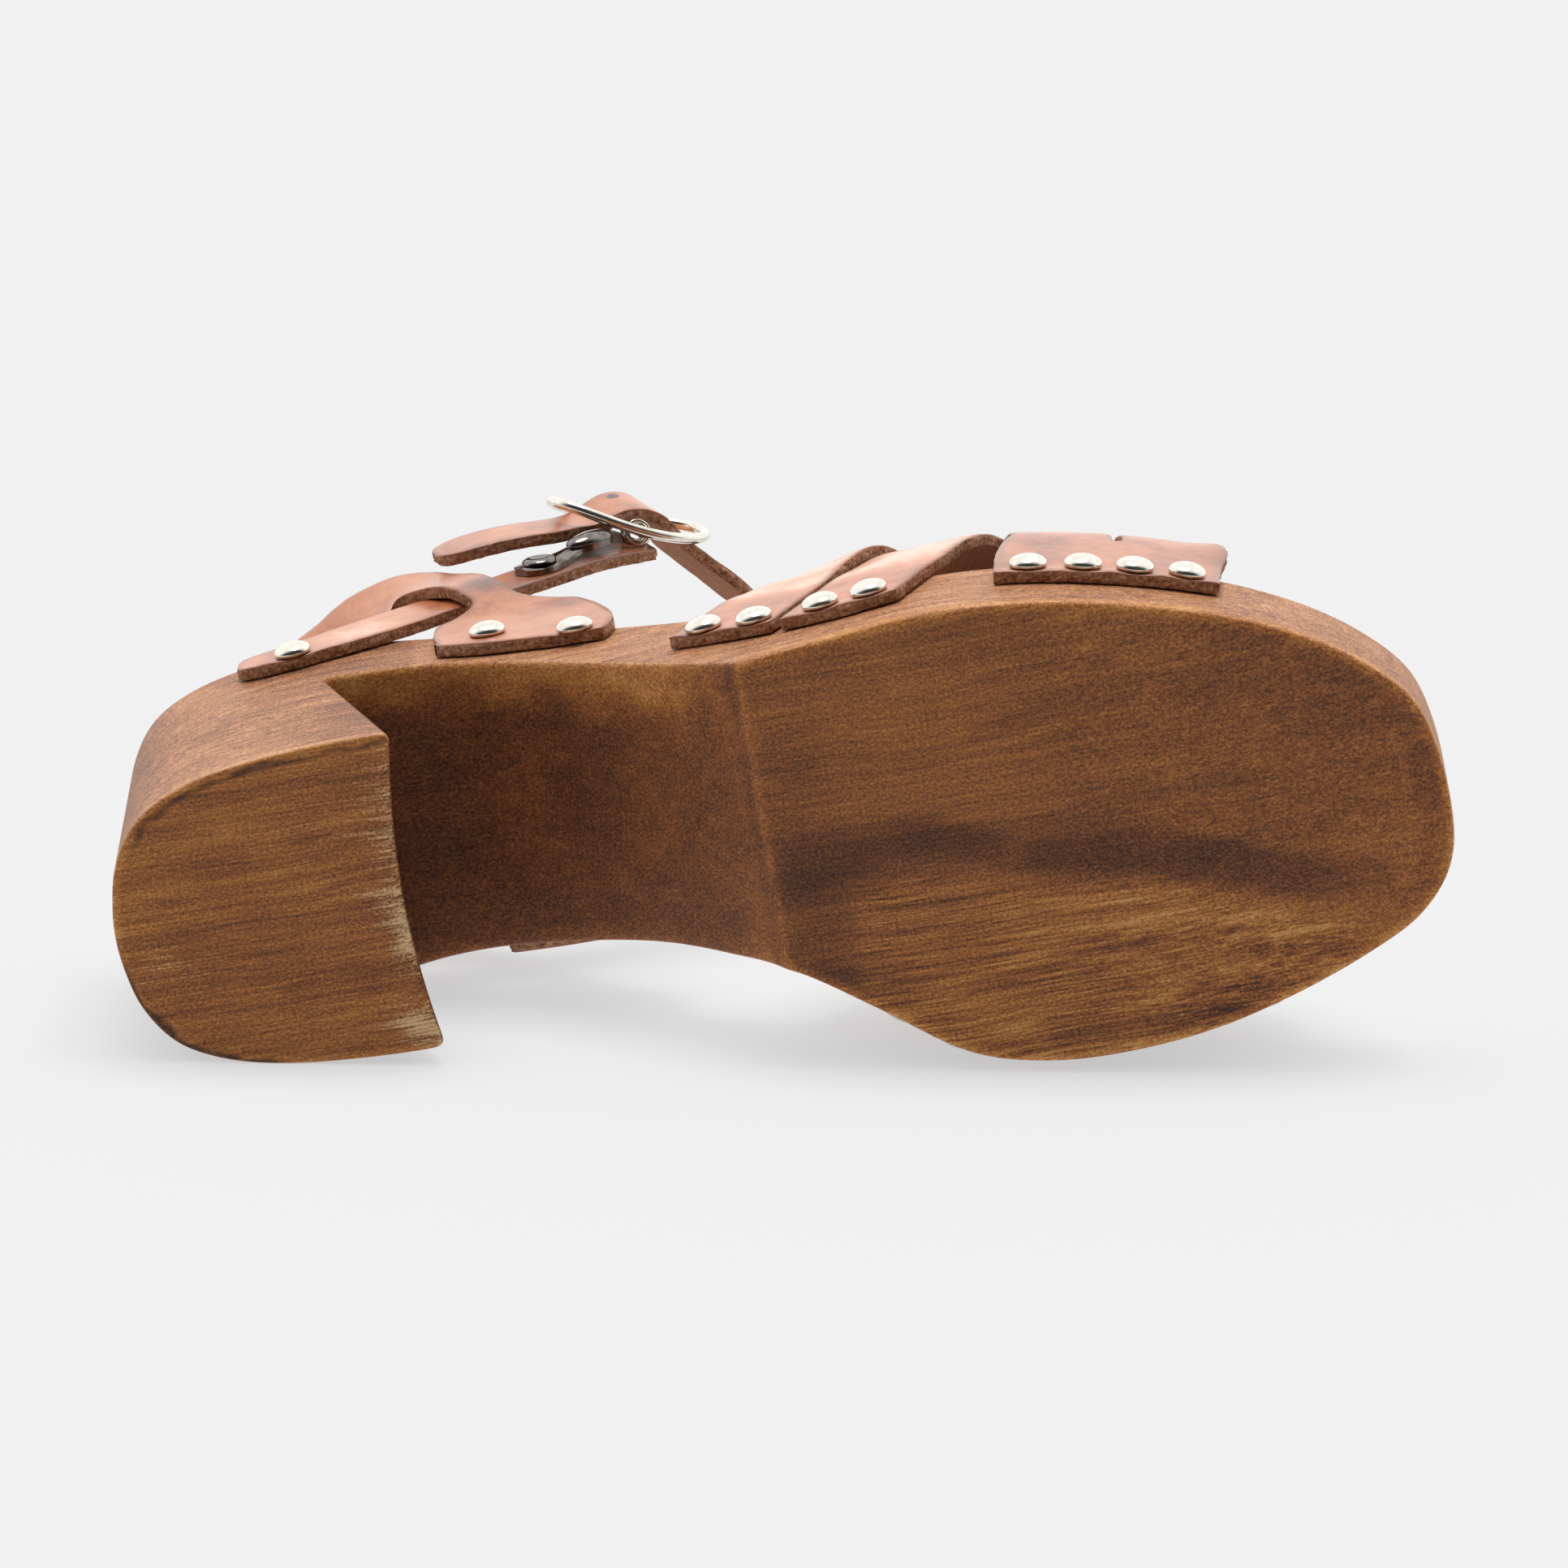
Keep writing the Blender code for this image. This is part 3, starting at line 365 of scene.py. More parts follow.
# ------------------------------------------------------------------ pieces
def add_attribute(mesh, name, values):
    values = np.asarray(values, np.float32)
    if values.ndim == 2:
        layer = mesh.attributes.new(name, 'FLOAT_VECTOR', 'POINT')
        layer.data.foreach_set("vector", values.ravel())
    else:
        layer = mesh.attributes.new(name, 'FLOAT', 'POINT')
        layer.data.foreach_set("value", values)


def make_piece(name, verts, faces, materials, face_slots=None, attributes=None, sharp=None):
    mesh = bpy.data.meshes.new(name)
    mesh.from_pydata(world(verts).tolist(), [], [list(map(int, f)) for f in faces])
    for mat in materials:
        mesh.materials.append(mat)
    if face_slots is not None:
        mesh.polygons.foreach_set("material_index", np.asarray(face_slots, np.int32))
    mesh.shade_smooth()
    if sharp:
        mesh.set_sharp_from_angle(angle=sharp)
    add_attribute(mesh, "stand", verts)
    for key, values in (attributes or {}).items():
        add_attribute(mesh, key, values)
    mesh.validate()
    obj = bpy.data.objects.new(name, mesh)
    bpy.context.scene.collection.objects.link(obj)
    return obj


def weld(verts, faces, dist=0.003):
    """Merge points that coincide, and drop the corners this takes from faces."""
    verts = np.asarray(verts, float)
    key = np.round(verts / dist).astype(np.int64)
    _, first, inverse = np.unique(key, axis=0, return_index=True, return_inverse=True)
    inverse = np.asarray(inverse).ravel()
    out = []
    for f in faces:
        g = []
        for v in f:
            k = int(inverse[v])
            if not g or g[-1] != k:
                g.append(k)
        if len(g) > 1 and g[0] == g[-1]:
            g.pop()
        if len(set(g)) == len(g) and len(g) > 2:
            out.append(g)
    return verts[first], out


def subdivided(verts, faces, levels):
    """Points and faces after smoothing subdivision, in the standing frame."""
    mesh = bpy.data.meshes.new("base")
    mesh.from_pydata([tuple(v) for v in verts], [], faces)
    bm = bmesh.new()
    bm.from_mesh(mesh)
    bmesh.ops.recalc_face_normals(bm, faces=bm.faces)
    bm.to_mesh(mesh)
    bm.free()
    obj = bpy.data.objects.new("base", mesh)
    bpy.context.scene.collection.objects.link(obj)
    mod = obj.modifiers.new("smooth", 'SUBSURF')
    mod.levels = mod.render_levels = levels
    mod.use_limit_surface = False
    graph = bpy.context.evaluated_depsgraph_get()
    graph.update()
    fine = obj.evaluated_get(graph).to_mesh()
    out = np.zeros(len(fine.vertices) * 3)
    fine.vertices.foreach_get("co", out)
    polys = [tuple(p.vertices) for p in fine.polygons]
    obj.evaluated_get(graph).to_mesh_clear()
    bpy.data.objects.remove(obj)
    bpy.data.meshes.remove(mesh)
    return out.reshape(-1, 3), polys


# ------------------------------------------------------------------ plan of the sole
def outline(per_span):
    lat = [(r[0], -r[1]) for r in PLAN]
    med = [(r[0], r[2]) for r in PLAN]
    ring = [(0.0, 0.0)] + lat + [(LENGTH, TOE_TIP_MEDIAL)] + med[::-1]
    pts = catmull(ring, per_span, closed=True)
    half = (len(lat) + 1) * per_span
    return np.array(pts[:half + 1]), np.array([pts[0]] + pts[half:][::-1])


PER = 24
LATERAL, MEDIAL = outline(PER)


def wall(x, side):
    """Half width of the sole; side is -1 for lateral, +1 for medial."""
    lat = np.interp(x, LATERAL[:, 0], -LATERAL[:, 1])
    med = np.interp(x, MEDIAL[:, 0], MEDIAL[:, 1])
    return np.where(np.asarray(side) < 0, lat, med)


def tread(x):
    t = np.maximum(0.0, (np.asarray(x, float) - TOE_SPRING_X) / (LENGTH - TOE_SPRING_X))
    return TOE_SPRING * t ** 1.8


def footbed(x):
    return smooth(FOOTBED, x)


def underside(x):
    return np.where(np.asarray(x) < RIDGE_X, smooth(ARCH, x), tread(x))


def on_plan(side, u):
    """Point of the outline at a plan row, between 0 at the heel's back and TIP_ROW at the tip."""
    half = LATERAL if side < 0 else MEDIAL
    k = min(max(u * PER, 0.0), len(half) - 1.0)
    i = min(int(k), len(half) - 2)
    return half[i] + (half[i + 1] - half[i]) * (k - i)


def plan_normal(side, u):
    t = on_plan(side, min(u + 0.04, TIP_ROW)) - on_plan(side, max(u - 0.04, 0.0))
    t = unit(t)
    return np.array((t[1], -t[0])) * (1 if side < 0 else -1)


def rung(u, inset, inner, ends=(2.5, 17.0)):
    """Points across the sole at a plan row: rim, inset, inner ones, inset, rim."""
    a, b = on_plan(-1, u), on_plan(1, u)
    across = unit(b - a) if np.linalg.norm(b - a) > 1e-6 else np.array((0.0, 1.0))
    by_normal = 1.0 - step(ends[0], ends[0] + 1.5, u) * (1.0 - step(ends[1] - 1.5, ends[1], u))
    ai = a + inset * unit(across * (1 - by_normal) - plan_normal(-1, u) * by_normal)
    bi = b + inset * unit(-across * (1 - by_normal) - plan_normal(1, u) * by_normal)
    mid = [ai + (bi - ai) * s for s in np.linspace(0, 1, inner + 2)]
    return [a] + mid + [b]


# ------------------------------------------------------------------ wooden sole
def sole_shape():
    """Footbed, wall, heel block, breast, arch and tread, with edges eased by subdivision."""
    verts, faces = [], []

    def grid(rows):
        base, n = len(verts), len(rows[0])
        for row in rows:
            verts.extend(row)
        for i in range(len(rows) - 1):
            for j in range(n - 1):
                a = base + i * n + j
                faces.append((a, a + 1, a + n + 1, a + n))

    ease_top, ease_tread, ease_arch, ease_heel, inner = 1.5, 2.0, 2.6, 1.3, 9
    rows_u = sorted(set([k / 4 for k in range(4 * TIP_ROW + 1)]
                        + [BREAST_ROW - 0.18, BREAST_ROW + 0.12, RIDGE_ROW - 0.17, RIDGE_ROW + 0.1]))
    front = [u for u in rows_u if u >= BREAST_ROW]
    back = [u for u in rows_u if u <= BREAST_ROW]
    head = float(smooth(ARCH, BREAST_HEAD_X))

    # footbed and wall
    grid([[(p[0], p[1], float(footbed(p[0]))) for p in rung(u, ease_top, inner)] for u in rows_u])
    for side in (-1, 1):
        rows = []
        for u in front:
            x, y = on_plan(side, u)
            top, low = float(footbed(x)), float(underside(x)) if u > BREAST_ROW else head
            ease = ease_arch + (ease_tread - ease_arch) * float(step(RIDGE_ROW - 1, RIDGE_ROW + 1, u))
            rows.append([(x, y, top), (x, y, top - ease_top), (x, y, (top + low) / 2),
                         (x, y, low + ease), (x, y, low)])
        grid(rows)
        rows = []
        for u in back:
            x, y = on_plan(side, u)
            top = float(footbed(x))
            rows.append([(x, y, top), (x, y, top - ease_top), (x, y, (top + head) / 2),
                         (x, y, head + ease_arch), (x, y, head)])
        grid(rows)

    # arch and tread
    def under(u):
        ease = ease_arch + (ease_tread - ease_arch) * float(step(RIDGE_ROW - 1, RIDGE_ROW + 1, u))
        return [(p[0], p[1], float(underside(p[0])) if u > BREAST_ROW else head)
                for p in rung(u, ease, inner)]

    grid([under(u) for u in front])

    # heel block
    heel = [(r[0], r[3]) for r in PLAN if r[3] is not None]
    curve = np.array(catmull([(heel[0][0], -heel[0][1]), (0.0, 0.0)] + heel
                             + [(70.0, heel[-1][1])], PER)[PER:])
    levels = [0.0, ease_heel / head, 0.25, 0.5, 0.75, 1.0 - 2.0 / head, 1.0]

    def floor_point(u, side):
        x = on_plan(-1, u)[0] * BREAST_FOOT_X / BREAST_HEAD_X
        return np.array((x, side * np.interp(x, curve[:, 0], curve[:, 1])))

    def heel_point(u, side, t):
        top, low = on_plan(side, u), floor_point(u, side)
        p = low + (top - low) * t
        return np.array((p[0], p[1], head * t))

    for side in (-1, 1):
        grid([[tuple(heel_point(u, side, t)) for t in levels] for u in back])

    def hollow(s, t):
        return -BREAST_HOLLOW * (1 - (2 * s - 1) ** 2) * (1 - t)

    def shares(width, ease):
        k = ease / width
        return [0.0] + list(k + (1 - 2 * k) * np.linspace(0, 1, inner + 2)) + [1.0]

    breast = []
    for t in levels:
        a, b = heel_point(BREAST_ROW, -1, t), heel_point(BREAST_ROW, 1, t)
        ease = 3.2 + (ease_arch - 3.2) * t
        breast.append([tuple(a + (b - a) * s + np.array((hollow(s, t), 0, 0)))
                       for s in shares(np.linalg.norm(b - a), ease)])
    grid(breast)
    floor = []
    for u in back:
        a, b = floor_point(u, -1), floor_point(u, 1)
        width = max(np.linalg.norm(b - a), 1e-6)
        k = u / BREAST_ROW
        keep = float(step(3.5, 5.5, u))
        row = []
        e = 0.05
        normals = []
        for side in (-1, 1):
            t = unit(floor_point(min(u + e, BREAST_ROW), side) - floor_point(max(u - e, 0), side))
            normals.append(np.array((t[1], -t[0])) * (1 if side < 0 else -1))
        across = (b - a) / width
        ai = a + ease_heel * unit(across * keep - normals[0] * (1 - keep))
        bi = b + ease_heel * unit(-across * keep - normals[1] * (1 - keep))
        if u == BREAST_ROW:
            ai, bi = a + across * 3.2, b - across * 3.2
        for p in [a] + [ai + (bi - ai) * s for s in np.linspace(0, 1, inner + 2)] + [b]:
            s = float((p - a) @ across) / width
            row.append((p[0] + hollow(s, 0.0) * k ** 3, p[1], 0.0))
        floor.append(row)
    grid(floor)
    return weld(verts, faces)


def polyline_distance(p, points):
    """Distance of plane points to a polyline, and the share of the way along it."""
    pts = np.array(points, float)
    best = np.full(len(p), 1e9)
    along = np.zeros(len(p))
    n = len(pts) - 1
    for i in range(n):
        a, b = pts[i, :2], pts[i + 1, :2]
        d = b - a
        t = np.clip(((p - a) @ d) / (d @ d), 0, 1)
        dist = np.linalg.norm(p - a - t[:, None] * d, axis=1)
        near = dist < best
        best[near] = dist[near]
        along[near] = (i + t[near]) / n
    return best, along


def blob(p, centre, size, lean=0.0):
    """Soft spot: 1 in the middle, falling off over a size along and across."""
    d = p - np.array(centre)
    a = radians(lean)
    q = np.column_stack((d[:, 0] * cos(a) + d[:, 1] * sin(a), -d[:, 0] * sin(a) + d[:, 1] * cos(a)))
    return np.exp(-((q[:, 0] / size[0]) ** 2 + (q[:, 1] / size[1]) ** 2))


# wear and stains of the wood, in plan: x and distance towards the lateral side
TREAD_SPOTS = [
    # x      lateral  long   wide   lean   tone
    (150.0,  7.0,     22.0,  9.0,   0.0,   0.07),
    (178.0,  30.0,    20.0,  2.4,   -3.0,  0.10),
    (140.0,  24.0,    16.0,  5.0,   0.0,   0.05),
    (219.0,  4.0,     7.0,   6.0,   0.0,   -0.13),
    (233.0,  -8.5,    3.0,   7.0,   0.0,   -0.10),
    (205.0,  15.0,    18.0,  9.0,   -10.0, -0.05),
    (191.5,  -44.8,   10.0,  2.8,   10.0,  -0.13),
    (123.0,  -24.0,   5.5,   12.0,  0.0,   -0.09),
    (123.0,  6.0,     5.0,   16.0,  0.0,   -0.06),
    (181.5,  -40.6,   5.0,   1.8,   4.0,   0.24),
    (155.5,  -42.4,   5.5,   1.7,   0.0,   0.22),
    (186.0,  -25.0,   26.0,  4.6,   -8.0,  0.13),
    (198.0,  -30.0,   18.0,  2.6,   -14.0, 0.10),
    (158.0,  -22.0,   24.0,  4.0,   0.0,   0.07),
    (150.0,  -36.0,   20.0,  6.0,   4.0,   0.06),
    (199.6,  -35.8,   9.0,   1.1,   -12.0, -0.22),
    (170.0,  -34.0,   14.0,  1.4,   -4.0,  -0.08),
    (222.0,  -22.0,   8.0,   8.0,   0.0,   0.05),
]
SWOOSH_REAR = [
    # x      lateral  half width
    (114.0,  -10.5,   5.0), (121.0, -8.0, 6.0), (129.0, -5.8, 5.6), (138.0, -5.2, 5.0), (147.0, -6.4, 4.4),
    (154.5,  -8.8,    3.6), (160.0, -10.4, 2.8),
]
SWOOSH_FRONT = [
    # x      lateral  half width
    (157.0,  -11.2,   2.6), (163.0, -11.4, 4.0), (172.0, -12.2, 5.0), (183.8, -14.4, 5.2), (195.7, -18.8, 4.8),
    (208.5,  -24.0,   4.4), (222.0, -26.0, 3.8),
]
BREAST_SCUFFS = [
    # lateral  amount
    (-30.0, 0.6), (-26.0, 0.65), (-22.5, 0.40), (-18.0, 0.10), (-13.0, 0.55), (-9.0, 1.0), (-3.0, 0.95), (1.0, 0.55),
    (5.0, 0.62), (11.0, 0.72), (15.0, 0.50), (19.0, 0.58), (24.0, 0.25), (30.0, 0.15),
]


def heel_rim():
    """Outline of the heel's floor, from the breast's lateral corner round the back to the medial one."""
    heel = [(r[0], r[3]) for r in PLAN if r[3] is not None]
    curve = np.array(catmull([(heel[0][0], -heel[0][1]), (0.0, 0.0)] + heel + [(70.0, heel[-1][1])], 6)[6:])
    curve = curve[curve[:, 0] < BREAST_FOOT_X + 4]
    return np.concatenate((curve[::-1] * (1, 1), curve[1:] * (1, -1)))


def arc(x, lateral, table, seed):
    """Soft dark band along a table's line."""
    plan = np.column_stack((x, lateral))
    dist, along = polyline_distance(plan, table)
    half = np.interp(along * (len(table) - 1), np.arange(len(table)), [r[2] for r in table])
    wobble = 0.13 * noise3(np.column_stack((x, lateral, 0 * x)), (16.0, 4.0, 4.0), seed)
    ends = step(0.0, 0.16, along) * (1 - step(0.86, 1.0, along))
    return (1.0 - step(0.45, 1.25, dist / half + wobble)) * (0.35 + 0.65 * ends)


def wood_layers(p, normals):
    """Fields on the wood: tone (stain, with painted shade and highlights), rosy walls, pale scuffs, dirt, strength of
    streaks and of mottling.
    """
    x, y, z = p[:, 0], p[:, 1], p[:, 2]
    lateral = -y
    plan = np.column_stack((x, lateral))
    down = step(0.25, 0.75, -normals[:, 2])
    heel = 1.0 - step(56.0, 58.0, x)
    heel_floor = heel * step(0.35, 0.8, -normals[:, 2]) * (1.0 - step(2.0, 6.0, z))
    beyond = step(RIDGE_X - 1.5, RIDGE_X + 1.5, x)
    front = beyond * down
    waist = (1.0 - beyond) * step(2.0, 10.0, z) * step(0.15, 0.6, -normals[:, 2])
    waist = np.maximum(waist, (1.0 - beyond) * step(60.0, 100.0, x) * step(0.1, 0.4, -normals[:, 2]))
    side = step(0.5, 0.85, np.abs(normals[:, 1])) + step(0.5, 0.85, normals[:, 0]) * step(180, 215, x) \
        + step(0.5, 0.85, -normals[:, 0]) * (1 - step(20, 40, x))
    side = np.clip(side, 0, 1) * (1 - down)
    breast = step(0.5, 0.8, normals[:, 0]) * heel * (1 - step(46, 48, z))

    ring = np.concatenate((LATERAL[::8], MEDIAL[::-8])) * (1, -1)
    rim = np.full(len(p), 20.0)
    low = z < 14.0
    rim[low] = polyline_distance(plan[low], ring)[0]
    edge_of_heel = np.full(len(p), 20.0)
    low = (z < 5.0) & (x < 62.0)
    edge_of_heel[low] = polyline_distance(plan[low], heel_rim() * (1, -1))[0]
    rim_lat = wall(x, -1) - lateral
    rim_med = wall(x, 1) + lateral

    tone = np.full(len(p), 0.46)
    streak = np.full(len(p), 1.0)
    mottle = np.full(len(p), 0.35)
    pale = np.zeros(len(p))
    dirt = np.zeros(len(p))

    # tread of the forefoot
    add = np.zeros(len(p))
    for sx, sl, long, wide, lean, change in TREAD_SPOTS:
        add += change * blob(plan, (sx, sl), (long, wide), lean)
    band = np.maximum(0.85 * arc(x, lateral, SWOOSH_REAR, 3), arc(x, lateral, SWOOSH_FRONT, 4))
    add -= 0.225 * band
    streak = streak * (1 - 0.35 * front) * (1 - 0.45 * band * front)
    line = SWOOSH_REAR + SWOOSH_FRONT
    under = np.interp(x, [r[0] for r in line], [r[1] for r in line]) - lateral
    worn = step(5.0, 10.0, under) * step(128.3, 130.3, x + 0.6 * noise3(p, (3.0, 2.0, 2.0), 8)) * (1 - step(208.0, 222.0, x))
    add += 0.055 * worn
    streak = streak + 1.15 * worn * front
    tone += add * front + 0.05 * front * step(12.0, 26.0, lateral) + 0.03 * front * step(195.0, 215.0, x) \
        + 0.06 * front * step(30.0, 38.0, -lateral)
    # eased rims are lighter: partly worn, partly a painted highlight along the edge
    rim_wear_and_highlight = beyond * (1 - step(0.9, 2.3, rim)) * (1 - step(2.2, 4.0, z - tread(x)))
    tone += 0.16 * rim_wear_and_highlight
    rim_dirt = beyond * (1 - step(1.5, 3.6, np.abs(rim - 3.2) + 0.8 * noise3(p, (9.0, 4.0, 4.0), 15))) * down
    tone -= 0.05 * rim_dirt

    # waist: dark in the middle, worn golden along its lateral edge
    edge = 1 - step(2.0, 12.0, rim_lat + 3.0 * noise3(p, (9.0, 6.0, 6.0), 7))
    tone += waist * (-0.15 + 0.36 * edge * (1 - step(98, 116, x)) + 0.10 * (1 - step(1.0, 5.0, rim_med)))
    tone += waist * (0.065 * step(98, 112, x) + 0.05 * step(84, 100, x))
    streak = streak * (1 - 0.5 * waist)
    mottle = mottle + (0.6 * edge - 0.12) * waist
    # painted highlight along the ridge's crease, with a painted shade just behind it
    ridge = x - RIDGE_X + 0.25 * noise3(p, (6.0, 6.0, 6.0), 23)
    tone += down * (z < 6.0) * (0.11 * np.exp(-((ridge - 0.2) / 0.7) ** 2) - 0.09 * np.exp(-((ridge + 1.5) / 0.8) ** 2))
    tone += 0.22 * waist * blob(plan, (45.5, 27.0), (4.0, 3.0))

    # heel floor: dirt round the back, pale scuffs along the breast
    ragged = edge_of_heel + 0.8 * noise3(p, (4.0, 2.5, 2.5), 11)
    dirt += heel_floor * (1 - step(0.6, 2.2, ragged)) * step(2.0, -10.0, lateral) * 0.62 * (1 - step(22, 34, x))
    dirt += heel_floor * 0.55 * (1 - step(0.4, 1.0, np.abs(ragged - 1.7))) * step(12.0, 18.0, lateral)
    # lighter line along the heel floor's rim: partly wear, partly a painted highlight on the eased edge
    tone += 0.13 * heel * (1 - step(0.9, 1.9, edge_of_heel)) * (1 - step(1.6, 3.0, z)) * (1 - step(0, 1, dirt))
    share = np.clip((lateral + 29.0) / 58.0, 0, 1)
    breast_line = BREAST_FOOT_X - BREAST_HOLLOW * (1 - (2 * share - 1) ** 2)
    inside = breast_line - x
    reach = 7.4 + 4.6 * noise3(p, (40.0, 1.6, 1.6), 17)
    amount = np.interp(lateral, [r[0] for r in BREAST_SCUFFS], [r[1] for r in BREAST_SCUFFS])
    amount = amount + 0.22 * noise3(p, (40.0, 3.0, 3.0), 18)
    pale += heel_floor * amount * (1 - step(0.0, 1.0, inside / np.maximum(reach, 1.2) * 0.62)) * step(-0.6, 0.4, inside)
    pale += heel_floor * 0.62 * blob(plan, (49.5, -24.0), (4.6, 3.4))
    pale += heel_floor * 0.36 * blob(plan, (8.0, -7.0), (7.0, 4.6))
    tone += heel_floor * (0.09 + 0.05 * blob(plan, (20.0, 17.0), (22.0, 6.0)) - 0.07 * blob(plan, (33.0, -13.5), (14.0, 3.4), -6)
                          - 0.04 * blob(plan, (24.0, 2.0), (12.0, 8.0)) + 0.07 * blob(plan, (36.0, -22.0), (14.0, 4.0))
                          + 0.06 * blob(plan, (6.0, -5.0), (5.0, 6.0)))
    # painted shade on the breast, in the hollow under the arch
    tone -= 0.16 * breast
    # heel wall: painted shade, darker to the breast's corner near the straps and at the very back, where the wall turns
    # from the light
    heel_side = heel * side
    tone += heel_side * (0.06 - 0.12 * step(26.0, 50.0, x + 0.28 * (z - 20.0)) + 0.03 * step(20, 60, z)
                         - 0.13 * (1 - step(3.0, 20.0, x)))
    tone += side * (1 - heel) * (0.09 + 0.05 * step(116.0, 132.0, x) * (1 - step(160.0, 176.0, x)))
    tone -= 0.03 * front * (1 - step(124.0, 142.0, x))
    streak = streak + 0.3 * side
    dirt += 0.35 * heel_side * (1 - step(0.3, 1.6, z))
    # the walls give way along the lighter rims, partly worn and partly painted highlight
    rosy = np.clip(side, 0, 1) * (1 - 0.8 * rim_wear_and_highlight)
    return {"tone": tone, "streak": streak, "pale": np.clip(pale, 0, 1), "dirt": np.clip(dirt, 0, 1), "rosy": rosy,
            "mottle": mottle}


def vertex_normals(verts, faces):
    mesh = bpy.data.meshes.new("probe")
    mesh.from_pydata([tuple(v) for v in verts], [], faces)
    out = np.zeros(len(verts) * 3, np.float32)
    mesh.vertices.foreach_get("normal", out)
    bpy.data.meshes.remove(mesh)
    return out.reshape(-1, 3).astype(float)


# ------------------------------------------------------------------ materials
class Graph:
    """Short names for shader nodes."""

    def __init__(self, name):
        self.mat = bpy.data.materials.new(name)
        self.mat.use_nodes = True
        self.tree = self.mat.node_tree
        self.shader = self.tree.nodes["Principled BSDF"]

    def node(self, kind, **settings):
        n = self.tree.nodes.new(kind)
        for key, value in settings.items():
            setattr(n, key, value)
        return n

    def put(self, socket, value):
        if isinstance(value, bpy.types.NodeSocket):
            self.tree.links.new(value, socket)
        else:
            socket.default_value = value

    def field(self, name):
        return self.node("ShaderNodeAttribute", attribute_name=name).outputs["Fac"]

    def place(self):
        return self.node("ShaderNodeAttribute", attribute_name="stand").outputs["Vector"]

    def math(self, op, a, b=0.0, c=None):
        n = self.node("ShaderNodeMath", operation=op)
        self.put(n.inputs[0], a)
        self.put(n.inputs[1], b)
        if c is not None:
            self.put(n.inputs[2], c)
        return n.outputs[0]

    def add(self, *terms):
        total = terms[0]
        for t in terms[1:]:
            total = self.math('ADD', total, t)
        return total

    def vector(self, op, a, b):
        n = self.node("ShaderNodeVectorMath", operation=op)
        self.put(n.inputs[0], a)
        self.put(n.inputs[1], b)
        return n.outputs[0]

    def combine(self, x, y, z):
        n = self.node("ShaderNodeCombineXYZ")
        for s, v in zip(n.inputs, (x, y, z)):
            self.put(s, v)
        return n.outputs[0]

    def noise(self, vector, scale=1.0, detail=3.0, rough=0.55, distort=0.0):
        n = self.node("ShaderNodeTexNoise")
        self.put(n.inputs["Vector"], vector)
        n.inputs["Scale"].default_value = scale
        n.inputs["Detail"].default_value = detail
        n.inputs["Roughness"].default_value = rough
        n.inputs["Distortion"].default_value = distort
        return n.outputs["Fac"]

    def cells(self, vector, scale, feature='F1', rand=1.0):
        n = self.node("ShaderNodeTexVoronoi", feature=feature)
        self.put(n.inputs["Vector"], vector)
        n.inputs["Scale"].default_value = scale
        n.inputs["Randomness"].default_value = rand
        return n.outputs["Distance"]

    def centred(self, value, gain):
        return self.math('MULTIPLY_ADD', value, gain, -0.5 * gain)

    def window(self, value, low, high):
        n = self.node("ShaderNodeMapRange", interpolation_type='SMOOTHSTEP')
        self.put(n.inputs["Value"], value)
        self.put(n.inputs["From Min"], low)
        self.put(n.inputs["From Max"], high)
        return n.outputs["Result"]

    def ramp(self, value, stops):
        n = self.node("ShaderNodeValToRGB")
        self.put(n.inputs["Fac"], value)
        el = n.color_ramp.elements
        while len(el) < len(stops):
            el.new(0.5)
        for e, (at, colour) in zip(el, stops):
            e.position = at
            e.color = (*colour, 1.0)
        return n.outputs["Color"]

    def mix(self, factor, a, b, blend='MIX'):
        n = self.node("ShaderNodeMix", data_type='RGBA', blend_type=blend)
        self.put(n.inputs[0], factor)
        for s, v in ((n.inputs[6], a), (n.inputs[7], b)):
            self.put(s, (*v, 1.0) if isinstance(v, tuple) and len(v) == 3 else v)
        return n.outputs[2]

    def bump(self, height, distance, strength=1.0, normal=None):
        n = self.node("ShaderNodeBump")
        n.inputs["Strength"].default_value = strength
        n.inputs["Distance"].default_value = distance
        self.put(n.inputs["Height"], height)
        if normal is not None:
            self.put(n.inputs["Normal"], normal)
        return n.outputs["Normal"]

    def finish(self, **sockets):
        for key, value in sockets.items():
            s = self.shader.inputs[key.replace("_", " ")]
            self.put(s, (*value, 1.0) if isinstance(value, tuple) and len(value) == 3 else value)
        return self.mat


